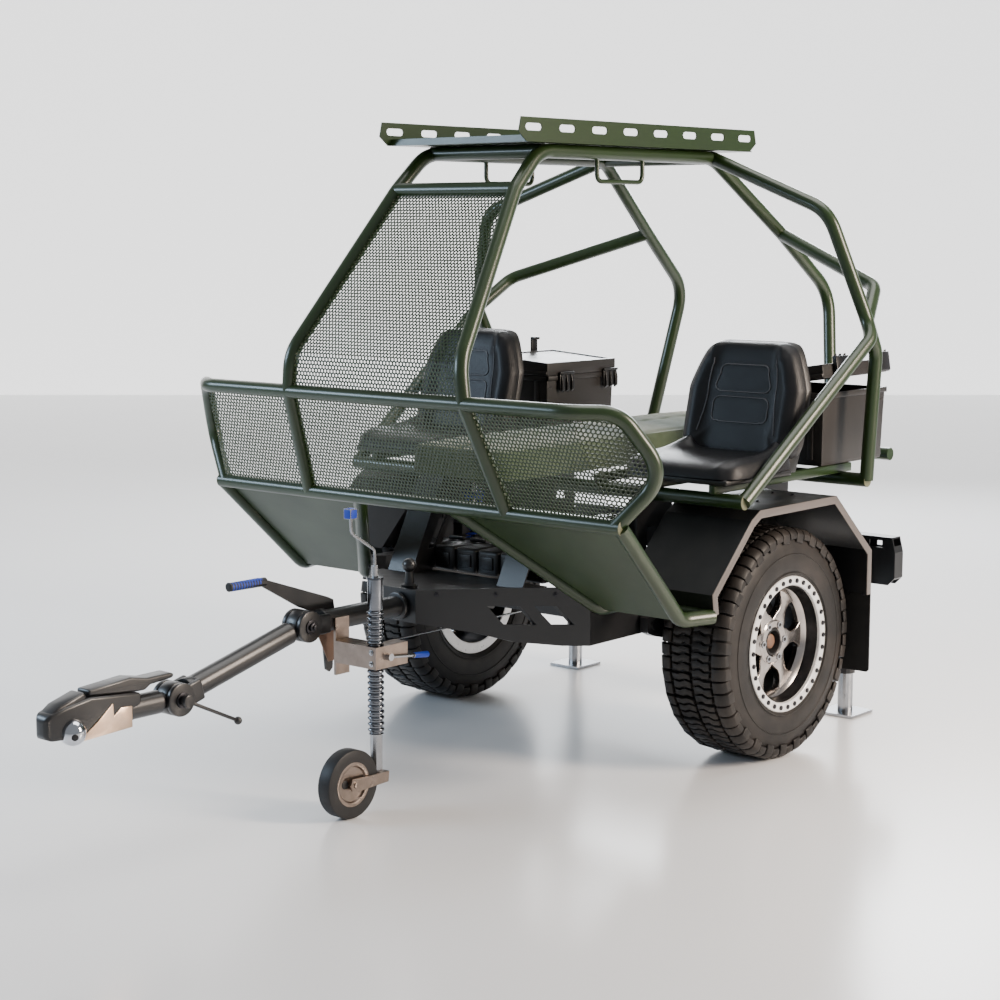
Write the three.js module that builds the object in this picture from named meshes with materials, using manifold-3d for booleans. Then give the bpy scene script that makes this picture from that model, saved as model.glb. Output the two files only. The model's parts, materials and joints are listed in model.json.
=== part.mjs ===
// Game cart: an off-road hunting trailer with a tubular cage, built as separate welded, bolted and
// hinged pieces. Millimetres, +Z up, the hitch towards -Y. Heights are measured from the ground and
// lengths from the wheel axle; the finished group is then moved so that its origin is the centre of
// its footprint.
import * as THREE from 'three';
import { mergeVertices } from 'three/addons/utils/BufferGeometryUtils.js';
import Module from 'manifold-3d';

const wasm = await Module();
wasm.setup();

// ---- driving dimensions -------------------------------------------------------------------------
const gap = 0.3; // air left between pieces that touch
const tubeD = 48.3; // cage tube
const tubeSides = 8;
const sheet = 3; // perforated and folded sheet
const plateT = 8; // chassis plate

const tyreRadius = 400;
const tyreWidth = 265;
const wheelFace = 842; // centre of the cart to the outer face of the tyre
const beadRadius = 236; // outside of the bead-lock ring
const wellRadius = 196; // inside of the rim's barrel
const hubRadius = 78;
const wheelTurnSides = 32;

const archRise = 100; // tyre top to fender top
const archRear = 34; // tyre to the rear skirt of the fender
const archFront = 155; // tyre to the foot of the fender's front slope
const fenderOuter = 900;
const fenderInner = 560;
const flangeDepth = 26;

const railOuter = 507; // outer face of the chassis rails
const railWidth = 50;
const railTop = 650;
const railBottom = 457;
const railRear = 760;
const noseHalf = 73;
const noseY = -1053;
const noseBottom = 533;
const flareY = -680; // where the flared nose plates meet the rails

const cabinHeight = 1137; // seat beams to roof rails
const roofHalf = 249;
const roofFront = -640;
const roofRear = 353;
const beamHalf = 884;
const frontBeamY = -351;
const rearBeamY = 423;
const guardHalf = 895;
const guardLowerY = -1023;
const guardUpperY = -1168;
const guardRise = 353; // lower guard bar to upper guard bar
const upperHalf = 797;
const footDrop = 341; // lower guard bar to the foot-well floor
const footInnerX = 536;

const hitchHeight = 583; // centre of the drawbar
const drawbarD = 70;
const kneeD = 100;
const kneeWidth = 84;
const kneeY = -1495;
const linkLength = 543;
const linkDrop = 138; // height lost along the mid link
const couplerLength = 478; // second knee to the coupler's nose

const jackX = 190;
const jackY = -1362;
const jackTubeD = 48;
const jackRibD = 54;
const stemD = 40;
const castorWheelD = 216;
const castorWheelW = 50;
const castorTrail = 127;

const seatX = 635; // centre of each seat
const seatWidth = 460;
const boxWidth = 330;
const boxLength = 433;
const boxHeight = 260;
const lidHeight = 50;
const lidRestAngle = 9; // the right-hand lid stands ajar
const bolsterHalf = 220;
const bolsterHeight = 118;
const rackHalf = 309;
const rackRailHeight = 78;
const legX = 650;
const legY = 700;
const legD = 57;
const footPlate = 150;

// ---- dimensions that follow -----------------------------------------------------------------------
const tubeR = tubeD / 2;
const axleZ = tyreRadius;
const fenderTop = 2 * tyreRadius + archRise;
const lift = fenderTop - 900; // how far the cage rides above its standard height
const beamZ = fenderTop + 6 + tubeR;
const roofZ = beamZ + cabinHeight;
const guardLowerZ = beamZ - 6;
const guardUpperZ = guardLowerZ + guardRise;
const footZ = guardLowerZ - footDrop;
const deckZ = beamZ + tubeR; // underside of the seat rails
const seatRailH = 27;
const seatRailW = 25;
const deckTop = deckZ + seatRailH;
const roofScale = cabinHeight / 1137;
const cabinZ = (height) => beamZ + (height - 930) * roofScale; // a cage point at its share of the height
const wheelX = wheelFace - tyreWidth / 2;

// ---- solids -----------------------------------------------------------------------------------------
function solid(geometry) {
  geometry.deleteAttribute('normal');
  geometry.deleteAttribute('uv');
  const merged = mergeVertices(geometry, 1e-3);
  const vertProperties = new Float32Array(merged.attributes.position.array);
  const triVerts = new Uint32Array(merged.index.array);
  return new wasm.Manifold(new wasm.Mesh({ numProp: 3, vertProperties, triVerts }));
}
const join = (...solids) => solids.reduce((sum, next) => sum.add(next));
const cut = (body, ...tools) => tools.reduce((rest, tool) => rest.subtract(tool), body);
// Cuts a piece to fit its neighbours and drops the off-cuts beyond them.
function coped(body, ...tools) {
  const pieces = cut(body, ...tools).decompose();
  return pieces.reduce((largest, piece) => (piece.volume() > largest.volume() ? piece : largest));
}

function block([x0, x1], [y0, y1], [z0, z1]) {
  const geometry = new THREE.BoxGeometry(x1 - x0, y1 - y0, z1 - z0);
  geometry.translate((x0 + x1) / 2, (y0 + y1) / 2, (z0 + z1) / 2);
  return solid(geometry);
}

// An outline extruded along one axis. For x the outline is (y, z), for y it is (x, z), for z (x, y).
const outlineFrames = {
  x: new THREE.Matrix4().set(0, 0, 1, 0, 1, 0, 0, 0, 0, 1, 0, 0, 0, 0, 0, 1),
  y: new THREE.Matrix4().set(1, 0, 0, 0, 0, 0, -1, 0, 0, 1, 0, 0, 0, 0, 0, 1),
  z: new THREE.Matrix4(),
};
function prism(outline, axis, [from, to]) {
  const shape = new THREE.Shape(outline.map(([u, v]) => new THREE.Vector2(u, v)));
  const geometry = new THREE.ExtrudeGeometry(shape, { depth: to - from, bevelEnabled: false });
  geometry.translate(0, 0, axis === 'y' ? -to : from);
  return solid(geometry.applyMatrix4(outlineFrames[axis]));
}

function ring(radius, sides) {
  const points = [];
  for (let i = 0; i < sides; i += 1) {
    const angle = ((i + 0.5) / sides) * 2 * Math.PI;
    points.push(new THREE.Vector2(radius * Math.cos(angle), radius * Math.sin(angle)));
  }
  return points;
}

// A route is a polyline that keeps its own points and turns its section half-way at each of them.
class Route extends THREE.Curve {
  constructor(points) {
    super();
    this.points = points;
  }
  index(u) {
    return Math.round(u * (this.points.length - 1));
  }
  getPointAt(u) {
    return this.points[this.index(u)].clone();
  }
  getTangentAt(u) {
    const i = this.index(u);
    const here = this.points[i];
    const after = this.points[Math.min(i + 1, this.points.length - 1)].clone().sub(here).normalize();
    const before = here.clone().sub(this.points[Math.max(i - 1, 0)]).normalize();
    return after.add(before).normalize();
  }
}

// Rounds each inner corner of a bent tube's centre line to the given radius.
function bentLine(corners, bend) {
  const at = corners.map((corner) => new THREE.Vector3(...corner));
  const points = [at[0]];
  for (let i = 1; i < at.length - 1; i += 1) {
    const back = at[i - 1].clone().sub(at[i]);
    const on = at[i + 1].clone().sub(at[i]);
    const turn = Math.PI - back.angleTo(on);
    const reach = Math.min(bend * Math.tan(turn / 2), 0.45 * back.length(), 0.45 * on.length());
    const start = at[i].clone().addScaledVector(back.normalize(), reach);
    const end = at[i].clone().addScaledVector(on.normalize(), reach);
    const curve = new THREE.QuadraticBezierCurve3(start, at[i], end);
    points.push(...curve.getPoints(Math.max(2, Math.ceil(turn / 0.36))));
  }
  points.push(at[at.length - 1]);
  return points;
}
function bar(corners, diameter = tubeD, bend = 120, sides = tubeSides) {
  const points = bentLine(corners, bend);
  const geometry = new THREE.ExtrudeGeometry(new THREE.Shape(ring(diameter / 2, sides)), {
    steps: points.length - 1,
    extrudePath: new Route(points),
  });
  return solid(geometry);
}
const opposite = ([x, y, z]) => [-x, y, z];
const opposed = ([x, y, z]) => [-x, -y, -z];
const mirrored = (points) => points.map(opposite);

// A round bar or disc along one axis, turned so that one flat lies along the next axis.
// A pin with flats turns freely in a bore whose flats clear the pin's corners.
const runBore = (radius, sides) => (radius + gap) / Math.cos(Math.PI / sides);

function disc(axis, [cx, cy, cz], radius, [from, to], sides = 24) {
  const outline = ring(radius, sides).map(({ x, y }) => [x, y]);
  const centre = { x: [cy, cz], y: [cx, cz], z: [cx, cy] }[axis];
  return prism(outline.map(([u, v]) => [u + centre[0], v + centre[1]]), axis, [from, to]);
}

// A turned ring about the X axis from a closed (distance along x, radius) profile.
function turned(profile, [cx, cy, cz], sides = wheelTurnSides) {
  const points = profile.map(([along, radius]) => new THREE.Vector2(radius, along));
  if (points[0].x > 0) points.push(points[0].clone());
  const geometry = new THREE.LatheGeometry(points, sides);
  const body = solid(geometry);
  const upright = body.volume() < 0 ? solid(new THREE.LatheGeometry(points.reverse(), sides)) : body;
  return upright.rotate([0, 0, -90]).translate([cx, cy, cz]);
}

// A ring of points at one distance from an outline, for folded sheet of even thickness.
function strip(line, thickness) {
  const at = line.map(([u, v]) => new THREE.Vector2(u, v));
  const normals = at.slice(1).map((point, i) => {
    const along = point.clone().sub(at[i]).normalize();
    return new THREE.Vector2(-along.y, along.x);
  });
  const inner = at.map((point, i) => {
    const before = normals[Math.max(i - 1, 0)];
    const after = normals[Math.min(i, normals.length - 1)];
    const middle = before.clone().add(after).normalize();
    return point.clone().addScaledVector(middle, thickness / middle.dot(after));
  });
  return [...at, ...inner.reverse()].map(({ x, y }) => [x, y]);
}

// A flat sheet through the given corners, half its thickness to each side.
function panel(corners, thickness = sheet) {
  const at = corners.map((corner) => new THREE.Vector3(...corner));
  const across = at[1].clone().sub(at[0]).normalize();
  const normal = across.clone().cross(at[2].clone().sub(at[0])).normalize();
  const up = normal.clone().cross(across);
  const shape = new THREE.Shape(at.map((point) => {
    const from = point.clone().sub(at[0]);
    return new THREE.Vector2(from.dot(across), from.dot(up));
  }));
  const geometry = new THREE.ExtrudeGeometry(shape, { depth: thickness, bevelEnabled: false });
  geometry.translate(0, 0, -thickness / 2);
  const place = new THREE.Matrix4().makeBasis(across, up, normal).setPosition(at[0]);
  return solid(geometry.applyMatrix4(place));
}

// ---- the assembly -----------------------------------------------------------------------------------
const cart = new THREE.Group();
const finishes = {
  greenTube: [0x35461f, 0.45, 0.25],
  greenMesh: [0x3d4f2c, 0.55, 0.2],
  chassisBlack: [0x25272b, 0.5, 0.4],
  blackCoat: [0x1d1e20, 0.55, 0.3],
  tyreRubber: [0x1b1b1c, 0.85, 0],
  machined: [0xb8b8ba, 0.3, 0.9],
  zinc: [0xc2c4c8, 0.25, 0.95],
  seatVinyl: [0x121316, 0.5, 0],
  boxPlastic: [0x3c3a38, 0.6, 0],
  bolsterCloth: [0x3c4a26, 0.95, 0],
  flapRubber: [0x151515, 0.9, 0],
  couplerGrey: [0x2e2d2c, 0.5, 0.4],
};
function part(name, body, finish) {
  const mesh = body.getMesh();
  const geometry = new THREE.BufferGeometry();
  geometry.setAttribute('position', new THREE.BufferAttribute(new Float32Array(mesh.vertProperties), 3));
  geometry.setIndex(new THREE.BufferAttribute(new Uint32Array(mesh.triVerts), 1));
  geometry.computeVertexNormals();
  const [color, roughness, metalness] = finishes[finish];
  const node = new THREE.Mesh(geometry, new THREE.MeshStandardMaterial({ color, roughness, metalness }));
  node.name = name;
  cart.add(node);
  return node;
}
const flip = (body) => body.mirror([1, 0, 0]);
// A right-hand piece and its mirror image on the left.
function pair(name, body, finish) {
  part(`${name}_right`, body, finish);
  part(`${name}_left`, flip(body), finish);
}

// ---- cage -------------------------------------------------------------------------------------------
const fat = 2 * gap + tubeD + 0.4;
const rearBarY = 912;
const rearBarZ = deckZ + seatRailH / 2;
const rearBarHalf = 695;

const pillarFoot = [444, guardLowerY, guardLowerZ];
const pillarCross = [389, guardUpperY, guardUpperZ];
const pillarBend = [376, guardUpperY - 3, guardUpperZ + 127];
const screenTop = [262, -775, cabinZ(1941)];
const roofBend = [roofHalf, roofFront, roofZ];
const roofCorner = [roofHalf, roofRear, roofZ];
const rearBend = [314, 727, cabinZ(1791)];
const rearHip = [347, 1017, cabinZ(1566)];
const rearFoot = [437, rearBarY, rearBarZ];
const hoopBend = [781, 289, cabinZ(1874)];
const hoopJoint = [900, 368, cabinZ(1495)];
const hoopKink = [935, 340, cabinZ(1440)];
const legBend = [845, 510, cabinZ(1610)];
const legKink = [900, 434, cabinZ(1381)];
const frontBeamEnd = [beamHalf - 4, frontBeamY, beamZ];
const rearBeamEnd = [beamHalf - 4, rearBeamY, beamZ];

// Guard: upper and lower bars, the bent wings that close them, and two struts.
const wingTop = [916, guardUpperY + 101, guardUpperZ - 3];
const wingSide = [1006, guardUpperY + 210, guardUpperZ - 190];
const upperEnd = [upperHalf, guardUpperY, guardUpperZ];
const lowerEnd = [guardHalf - 26, guardLowerY, guardLowerZ];
const guardLine = [upperEnd, wingTop, wingSide, lowerEnd];
const guardTubes = (diameter) => join(
  bar([[0, guardUpperY, guardUpperZ], ...guardLine], diameter),
  bar(mirrored([[0, guardUpperY, guardUpperZ], ...guardLine]), diameter),
  bar([[-guardHalf, guardLowerY, guardLowerZ], [guardHalf, guardLowerY, guardLowerZ]], diameter),
  bar([pillarFoot, pillarCross], diameter),
  bar(mirrored([pillarFoot, pillarCross]), diameter),
);
const guardFrame = guardTubes(tubeD);
const guardClear = guardTubes(fat);

// Two bent hoops from the guard over the roof and down to the rear bar, with their cross tubes.
const hoop = [pillarCross, pillarBend, screenTop, roofBend, roofCorner, rearBend, rearHip, rearFoot];
const across = ([x, y, z]) => [[-x, y, z], [x, y, z]];
const handleD = 16;
const handleFront = -328;
const handleRear = -72;
const handleDrop = 95;
const handle = bar([
  [roofHalf, handleFront, roofZ], [roofHalf, handleFront, roofZ - handleDrop],
  [roofHalf, handleRear, roofZ - handleDrop], [roofHalf, handleRear, roofZ],
], handleD, 24, 8);
const cageTubes = (diameter) => join(
  bar(hoop, diameter), bar(mirrored(hoop), diameter),
  bar(across(screenTop), diameter), bar(across([roofHalf, roofFront + 30, roofZ]), diameter),
  bar(across(roofCorner), diameter),
  bar([[-rearBarHalf, rearBarY, rearBarZ], [rearBarHalf, rearBarY, rearBarZ]], diameter),
);
const cageClear = cageTubes(fat);
const cageLoop = coped(join(cageTubes(tubeD), handle, flip(handle)), guardClear);

// Deck: the two seat beams, three flat rails a side, and the inner rails that run back to the rear bar.
const railInner = 290;
const railsX = [railInner, railInner + 240, railInner + 480];
const railFrontY = frontBeamY - 25;
const railRearY = rearBeamY + 62;
function seatRail(x) {
  const end = x === railInner ? rearBarY : railRearY;
  return block([x - seatRailW / 2, x + seatRailW / 2], [railFrontY, end], [deckZ - 4, deckTop]);
}
const beams = (diameter) => join(
  bar([[-beamHalf, frontBeamY, beamZ], [beamHalf, frontBeamY, beamZ]], diameter),
  bar([[-beamHalf, rearBeamY, beamZ], [beamHalf, rearBeamY, beamZ]], diameter),
);
const rails = join(...railsX.map(seatRail));
const deckFrame = coped(join(beams(tubeD), rails, flip(rails)), cageClear);
const beamsClear = beams(fat);

// Side hoops, each with its rear leg, coped to the roof corner and the seat beams.
const sideTubes = (diameter) => join(
  bar([roofCorner, hoopBend, hoopJoint, hoopKink, frontBeamEnd], diameter, 90),
  bar([rearBend, legBend, hoopJoint], diameter, 90),
  bar([hoopJoint, legKink, rearBeamEnd], diameter, 90),
);
const sideFrame = coped(sideTubes(tubeD), cageClear, beamsClear);

// Foot-wells: an outer and an inner tube, the bar that ties them at the back, and a solid sheet.
const footBend = [857, -666, footZ];
const footOuter = [[guardHalf - 6, guardLowerY, guardLowerZ], footBend, [guardHalf, -544, footZ]];
const footInner = [[208, guardLowerY, guardLowerZ], [footInnerX, -666, footZ], [footInnerX, -544, footZ]];
const footTubes = (diameter) => join(
  bar(footOuter, diameter, 70), bar(footInner, diameter, 70),
  bar([[footInnerX - tubeR, -544, footZ], [guardHalf, -544, footZ]], diameter),
);
const footFrame = coped(footTubes(tubeD), guardClear);
const footClear = footTubes(fat);
const footSheet = join(
  panel([[208, guardLowerY, guardLowerZ], [guardHalf - 6, guardLowerY, guardLowerZ],
    [857, -666, footZ], [footInnerX, -666, footZ]]),
  panel([[footInnerX, -667, footZ], [857, -667, footZ], [guardHalf - 10, -544, footZ],
    [footInnerX, -544, footZ]]),
);
const footPanel = coped(footSheet, footClear, guardClear);

// Perforated sheets, plain here: the screen between the pillars and three panels in the guard.
const screenSheet = join(
  panel([opposite(pillarCross), pillarCross, pillarBend, opposite(pillarBend)]),
  panel([opposite(pillarBend), pillarBend, screenTop, opposite(screenTop)]),
);
const screenMesh = coped(screenSheet, cageClear, guardClear);
const centreSheet = panel([opposite(pillarFoot), pillarFoot, pillarCross, opposite(pillarCross)]);
const centreMesh = coped(centreSheet, guardClear);
const wingLine = bentLine(guardLine, 120).map((point) => point.toArray());
const sideMesh = coped(join(
  panel([pillarFoot, [guardHalf, guardLowerY, guardLowerZ], upperEnd, pillarCross]),
  panel([upperEnd, [guardHalf, guardLowerY, guardLowerZ], ...wingLine.slice(1, -1).reverse()]),
), guardClear);

// ---- roof rack --------------------------------------------------------------------------------------
const rackFront = -811;
const rackRear = 548;
const rackZ = roofZ + tubeR + gap;
const railT = 4;
const rackLip = 22;
const trayFront = -756;
const trayOutline = [
  [trayFront, rackZ], [rackRear - 20, rackZ], [rackRear - 20, rackZ + sheet],
  [trayFront + sheet, rackZ + sheet], [trayFront + sheet, rackZ + rackLip], [trayFront, rackZ + rackLip],
];
const trayHalf = rackHalf - railT - gap;
const rackTray = prism(trayOutline, 'x', [-trayHalf, trayHalf]);
const rackChamfer = 40;
const railOutline = [
  [rackFront + rackChamfer, rackZ], [rackRear - rackChamfer, rackZ], [rackRear, rackZ + 30],
  [rackRear - 12, rackZ + rackRailHeight], [rackFront + 12, rackZ + rackRailHeight], [rackFront, rackZ + 30],
];
const slotLength = 84;
const slotHeight = 24;
const slotCount = 8;
const slotPitch = (rackRear - rackFront - 150) / (slotCount - 1);
function rackSlot(i) {
  const middle = rackFront + 75 + i * slotPitch;
  const outline = [];
  for (const [end, from] of [[slotLength / 2 - slotHeight / 2, -90], [slotHeight / 2 - slotLength / 2, 90]]) {
    for (let step = 0; step <= 4; step += 1) {
      const angle = ((from + step * 45) * Math.PI) / 180;
      outline.push([middle + end + (slotHeight / 2) * Math.cos(angle),
        rackZ + rackRailHeight * 0.6 + (slotHeight / 2) * Math.sin(angle)]);
    }
  }
  return prism(outline, 'x', [rackHalf - 2 * railT, rackHalf + railT]);
}
let rackRail = prism(railOutline, 'x', [rackHalf - railT, rackHalf]);
for (let i = 0; i < slotCount; i += 1) rackRail = rackRail.subtract(rackSlot(i));

// ---- chassis ----------------------------------------------------------------------------------------
const plateZ = [railBottom + lift, railTop + lift];
const noseZ = [noseBottom + lift, railTop - 8 + lift];
const noseOutline = [
  [-noseHalf, noseY], [noseHalf, noseY], [railOuter, flareY], [railOuter, railRear], [-railOuter, railRear],
  [-railOuter, flareY],
];
const inner = railOuter - railWidth;
const noseInside = [
  [-noseHalf + 6, noseY + plateT], [noseHalf - 6, noseY + plateT], [railOuter - 12, flareY + 6],
  [inner, flareY + 40], [inner, railRear - railWidth], [-inner, railRear - railWidth], [-inner, flareY + 40],
  [12 - railOuter, flareY + 6],
];
const chassisSide = [
  [noseY - 5, noseZ[0]], [-924, noseZ[0] - 33], [-841, noseZ[0] - 63], [flareY - 60, plateZ[0]],
  [railRear + 5, plateZ[0]], [railRear + 5, plateZ[1]], [-869, plateZ[1]], [noseY - 5, noseZ[1]],
];
const cheekHole = (y, width, height, drop, skew) => prism([
  [y, drop], [y + width, drop], [y + width + skew, drop - height], [y + skew, drop - height],
], 'x', [0, railOuter + 1]);
const holeTop = railTop - 60 + lift;
const windows = join(
  cheekHole(-900, 70, 63, holeTop, 36), cheekHole(-800, 48, 63, holeTop, 38),
);
const crossHalf = railOuter - 2;
const crossTube = (y) => block([-crossHalf, crossHalf], [y - 30, y + 30], [plateZ[0] + 60, plateZ[0] + 130]);
const uprightTop = beamZ - tubeR - gap;
function upright(y0, y1, lean) {
  const outline = [
    [y0, plateZ[1] - 5], [y1, plateZ[1] - 5], [y1 + lean, uprightTop], [y0 + lean, uprightTop],
  ];
  const [sill, head] = [plateZ[1] + 95, plateZ[1] + 165];
  const window = [[y0 + 55, sill], [y1 - 55, sill], [y1 - 55, head], [y0 + 55, head]];
  return cut(prism(outline, 'x', [railOuter - plateT, railOuter]),
    prism(window, 'x', [railOuter - 2 * plateT, railOuter + plateT]));
}
// Sloping channels from the nose plates up to the floor under the padded centre board.
const bolsterFront = -780;
const channelTop = deckTop - gap;
function channel() {
  const outline = [[-790, plateZ[1] - 20], [-680, plateZ[1] - 20], [-490, channelTop], [-610, channelTop]];
  const side = prism(outline, 'x', [194, 200]);
  const slot = prism([[-700, plateZ[1] + 60], [-668, plateZ[1] + 60], [-590, plateZ[1] + 190],
    [-622, plateZ[1] + 190]], 'x', [180, 220]);
  const face = prism([[-790, plateZ[1] - 20], [-783, plateZ[1] - 20], [-603, channelTop],
    [-610, channelTop]], 'x', [194, 305]);
  return join(cut(side, slot), face);
}
const railWall = 6;
const railRoom = block([inner - 1, railOuter - railWall], [flareY + 60, railRear - railWall - railWidth],
  [plateZ[0] + railWall, plateZ[1] - railWall]);
const rearRoom = block([railWall - railOuter, railOuter - railWall],
  [railRear - railWidth - 1, railRear - railWall], [plateZ[0] + railWall, plateZ[1] - railWall]);
const chassisShell = cut(prism(noseOutline, 'z', [plateZ[0] - 5, plateZ[1] + 5]),
  prism(noseInside, 'z', [plateZ[0] - 10, plateZ[1] + 10]), railRoom, flip(railRoom), rearRoom);
const uprights = join(upright(-430, -230, 0), upright(330, 500, 0), channel());
const noseFloor = prism([
  [-noseHalf + 2, noseY + 4], [noseHalf - 2, noseY + 4], [330, -830], [330, -790], [-330, -790], [-330, -830],
], 'z', [noseZ[1] - 6 - plateT, noseZ[1] - 6]);
const shelf = block([-315, 315], [-800, -670], [plateZ[1] - 26, plateZ[1] - 18]);
const chassisBody = join(
  chassisShell.intersect(prism(chassisSide, 'x', [-railOuter - 5, railOuter + 5])),
  noseFloor, crossTube(-560), crossTube(-60), crossTube(440), shelf, uprights, flip(uprights),
);
const drawbarZ = hitchHeight + lift;
const chassisFrame = cut(chassisBody, windows, flip(windows), footClear, flip(footClear));
const ballZ = noseZ[1] - 6 + gap;
const ballAt = [0, noseY + 50, 0];
const towBall = join(
  disc('z', ballAt, 24, [ballZ, ballZ + 12], 12),
  disc('z', ballAt, 12, [ballZ, ballZ + 45], 12),
  solid(new THREE.SphereGeometry(22, 10, 8)).rotate([90, 0, 0]).translate([0, ballAt[1], ballZ + 55]),
);

// Rear beam: a channel with folded ends, the leg sockets behind the wheels and slots for its lamps.
const rearBeamHalf = 812;
const rearBeamZ = [495 + lift, 675 + lift];
const rearBeamY0 = railRear + gap;
const rearBeamT = 6;
const rearBeamDepth = 60;
const sleeveD = 70;
const sleeveZ = [157, 620 + lift];
const legGapD = legD + 2 * gap;
const endCut = 28;
const beamFaceOutline = [
  [-rearBeamHalf + endCut, rearBeamZ[0]], [rearBeamHalf - endCut, rearBeamZ[0]],
  [rearBeamHalf, rearBeamZ[0] + endCut], [rearBeamHalf, rearBeamZ[1] - 2 * endCut],
  [rearBeamHalf - endCut / 2, rearBeamZ[1]], [-rearBeamHalf + endCut / 2, rearBeamZ[1]],
  [-rearBeamHalf, rearBeamZ[1] - 2 * endCut], [-rearBeamHalf, rearBeamZ[0] + endCut],
];
const beamHollow = block([-rearBeamHalf + 6, rearBeamHalf - 6],
  [rearBeamY0 + rearBeamT, rearBeamY0 + rearBeamDepth - rearBeamT],
  [rearBeamZ[0] - 10, rearBeamZ[1] - rearBeamT]);
const lampSlot = block([703, 757], [rearBeamY0 - 5, rearBeamY0 + rearBeamDepth + 5],
  [rearBeamZ[1] - 40, rearBeamZ[1] - 14]);
const legSocket = join(
  disc('z', [legX, legY, 0], sleeveD / 2, sleeveZ, 16),
  block([legX - 40, legX + 40], [legY, rearBeamY0 + 2], [rearBeamZ[0] + 20, rearBeamZ[0] + 110]),
);
const legBore = disc('z', [legX, legY, 0], legGapD / 2, [0, sleeveZ[1] + 10], 16);
const rearBeam = cut(join(
  cut(prism(beamFaceOutline, 'y', [rearBeamY0, rearBeamY0 + rearBeamDepth]), beamHollow,
    lampSlot, flip(lampSlot)), legSocket, flip(legSocket),
), legBore, flip(legBore));
const legTopZ = sleeveZ[1] - 30;
const leg = join(
  disc('z', [legX, legY, 0], legD / 2, [4, legTopZ], 16),
  block([legX - footPlate / 2, legX + footPlate / 2], [legY - footPlate / 2, legY + footPlate / 2], [0, 10]),
);

// ---- wheels, arms and fenders -------------------------------------------------------------------------
const halfTyre = tyreWidth / 2;
const tyreProfile = [
  [-halfTyre + 12, beadRadius - 8], [-halfTyre, beadRadius + 40], [-halfTyre + 2, tyreRadius - 60],
  [-halfTyre + 22, tyreRadius - 10], [-halfTyre + 48, tyreRadius], [halfTyre - 48, tyreRadius],
  [halfTyre - 22, tyreRadius - 10], [halfTyre - 2, tyreRadius - 60], [halfTyre, beadRadius + 40],
  [halfTyre - 12, beadRadius - 8], [halfTyre - 30, beadRadius - 8], [halfTyre - 16, tyreRadius - 70],
  [halfTyre - 52, tyreRadius - 24], [52 - halfTyre, tyreRadius - 24], [16 - halfTyre, tyreRadius - 70],
  [30 - halfTyre, beadRadius - 8],
];
const wheelAt = [wheelX, 0, axleZ];
const tyre = turned(tyreProfile, wheelAt);
const rimOuter = beadRadius - 8 - 2 * gap;
const barrelWall = 8;
const barrel = turned([
  [-halfTyre + 12, wellRadius], [-halfTyre + 12, rimOuter], [-halfTyre + 34, rimOuter],
  [-halfTyre + 40, wellRadius + barrelWall], [halfTyre - 40, wellRadius + barrelWall],
  [halfTyre - 34, rimOuter], [halfTyre - 12, rimOuter], [halfTyre - 12, wellRadius],
], wheelAt);
const spokeFace = wheelX + halfTyre - 75;
const web = disc('x', wheelAt, wellRadius + 4, [spokeFace - 26, spokeFace], wheelTurnSides);
const windowAt = 132;
const spokeCount = 6;
let spokes = web;
for (let i = 0; i < spokeCount; i += 1) {
  const angle = ((i + 0.5) / spokeCount) * 2 * Math.PI;
  const centre = [wheelX, windowAt * Math.cos(angle), axleZ + windowAt * Math.sin(angle)];
  spokes = spokes.subtract(disc('x', centre, 43, [spokeFace - 40, spokeFace + 10], 8));
}
const hubLength = 62;
const stubD = 50;
const rim = cut(
  join(barrel, spokes, disc('x', wheelAt, hubRadius, [spokeFace - hubLength, spokeFace + 12], 18)),
  disc('x', wheelAt, runBore(stubD / 2, 18), [0, spokeFace - 20], 18),
);
const armX = [railOuter + 10, railOuter + 42];
const pivotY = -380;
const pivotZ = railBottom + 33 + lift;
const armOutline = [
  [pivotY - 40, pivotZ - 25], [pivotY, pivotZ - 42], [20, axleZ - 48], [52, axleZ - 20], [52, axleZ + 20],
  [20, axleZ + 48], [pivotY, pivotZ + 42], [pivotY - 40, pivotZ + 25],
];
const pivotBore = disc('x', [0, pivotY, pivotZ], runBore(20, 16), [0, 900], 16);
const trailingArm = join(
  cut(prism(armOutline, 'x', armX), pivotBore),
  disc('x', wheelAt, stubD / 2, [armX[1] - 2, spokeFace - 24], 18),
);
const armPin = disc('x', [0, pivotY, pivotZ], 20, [railOuter - 2, armX[1] + 6], 16);

const archLine = [
  [-tyreRadius - archFront + 10, fenderTop - 315], [-tyreRadius - archFront, fenderTop - 245],
  [-tyreRadius + 63, fenderTop - 29], [-tyreRadius + 113, fenderTop], [tyreRadius - 212, fenderTop],
  [tyreRadius + archRear, fenderTop - 219], [tyreRadius + archRear, fenderTop - 378],
];
const archBack = [...archLine].reverse();
const arch = prism(strip(archBack, sheet), 'x', [fenderInner, fenderOuter]);
const flangeRing = prism(strip(archBack, flangeDepth), 'x', [fenderOuter - sheet, fenderOuter]);
const wallFoot = plateZ[1] + 8;
const innerWall = prism(archLine, 'x', [fenderInner, fenderInner + sheet])
  .intersect(block([0, 2000], [-2000, 2000], [wallFoot, fenderTop + 1]));
const stayX = [railOuter + gap, fenderInner + 1];
const stay = (y) => block(stayX, [y - 20, y + 20], [wallFoot + 10, wallFoot + 50]);
const fenderBody = join(arch, flangeRing, innerWall);
const fender = cut(fenderBody, footClear);
const flapTop = fenderTop - 340;
const flapX = [785, fenderOuter - 2];
const flapY = tyreRadius + archRear + sheet + gap;
const flapOutline = [
  [flapX[0] + 8, flapTop - 324], [flapX[1] - 8, flapTop - 324], [flapX[1], flapTop - 316],
  [flapX[1], flapTop], [flapX[0], flapTop], [flapX[0], flapTop - 316],
];
const mudFlap = prism(flapOutline, 'y', [flapY, flapY + 6]);

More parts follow.
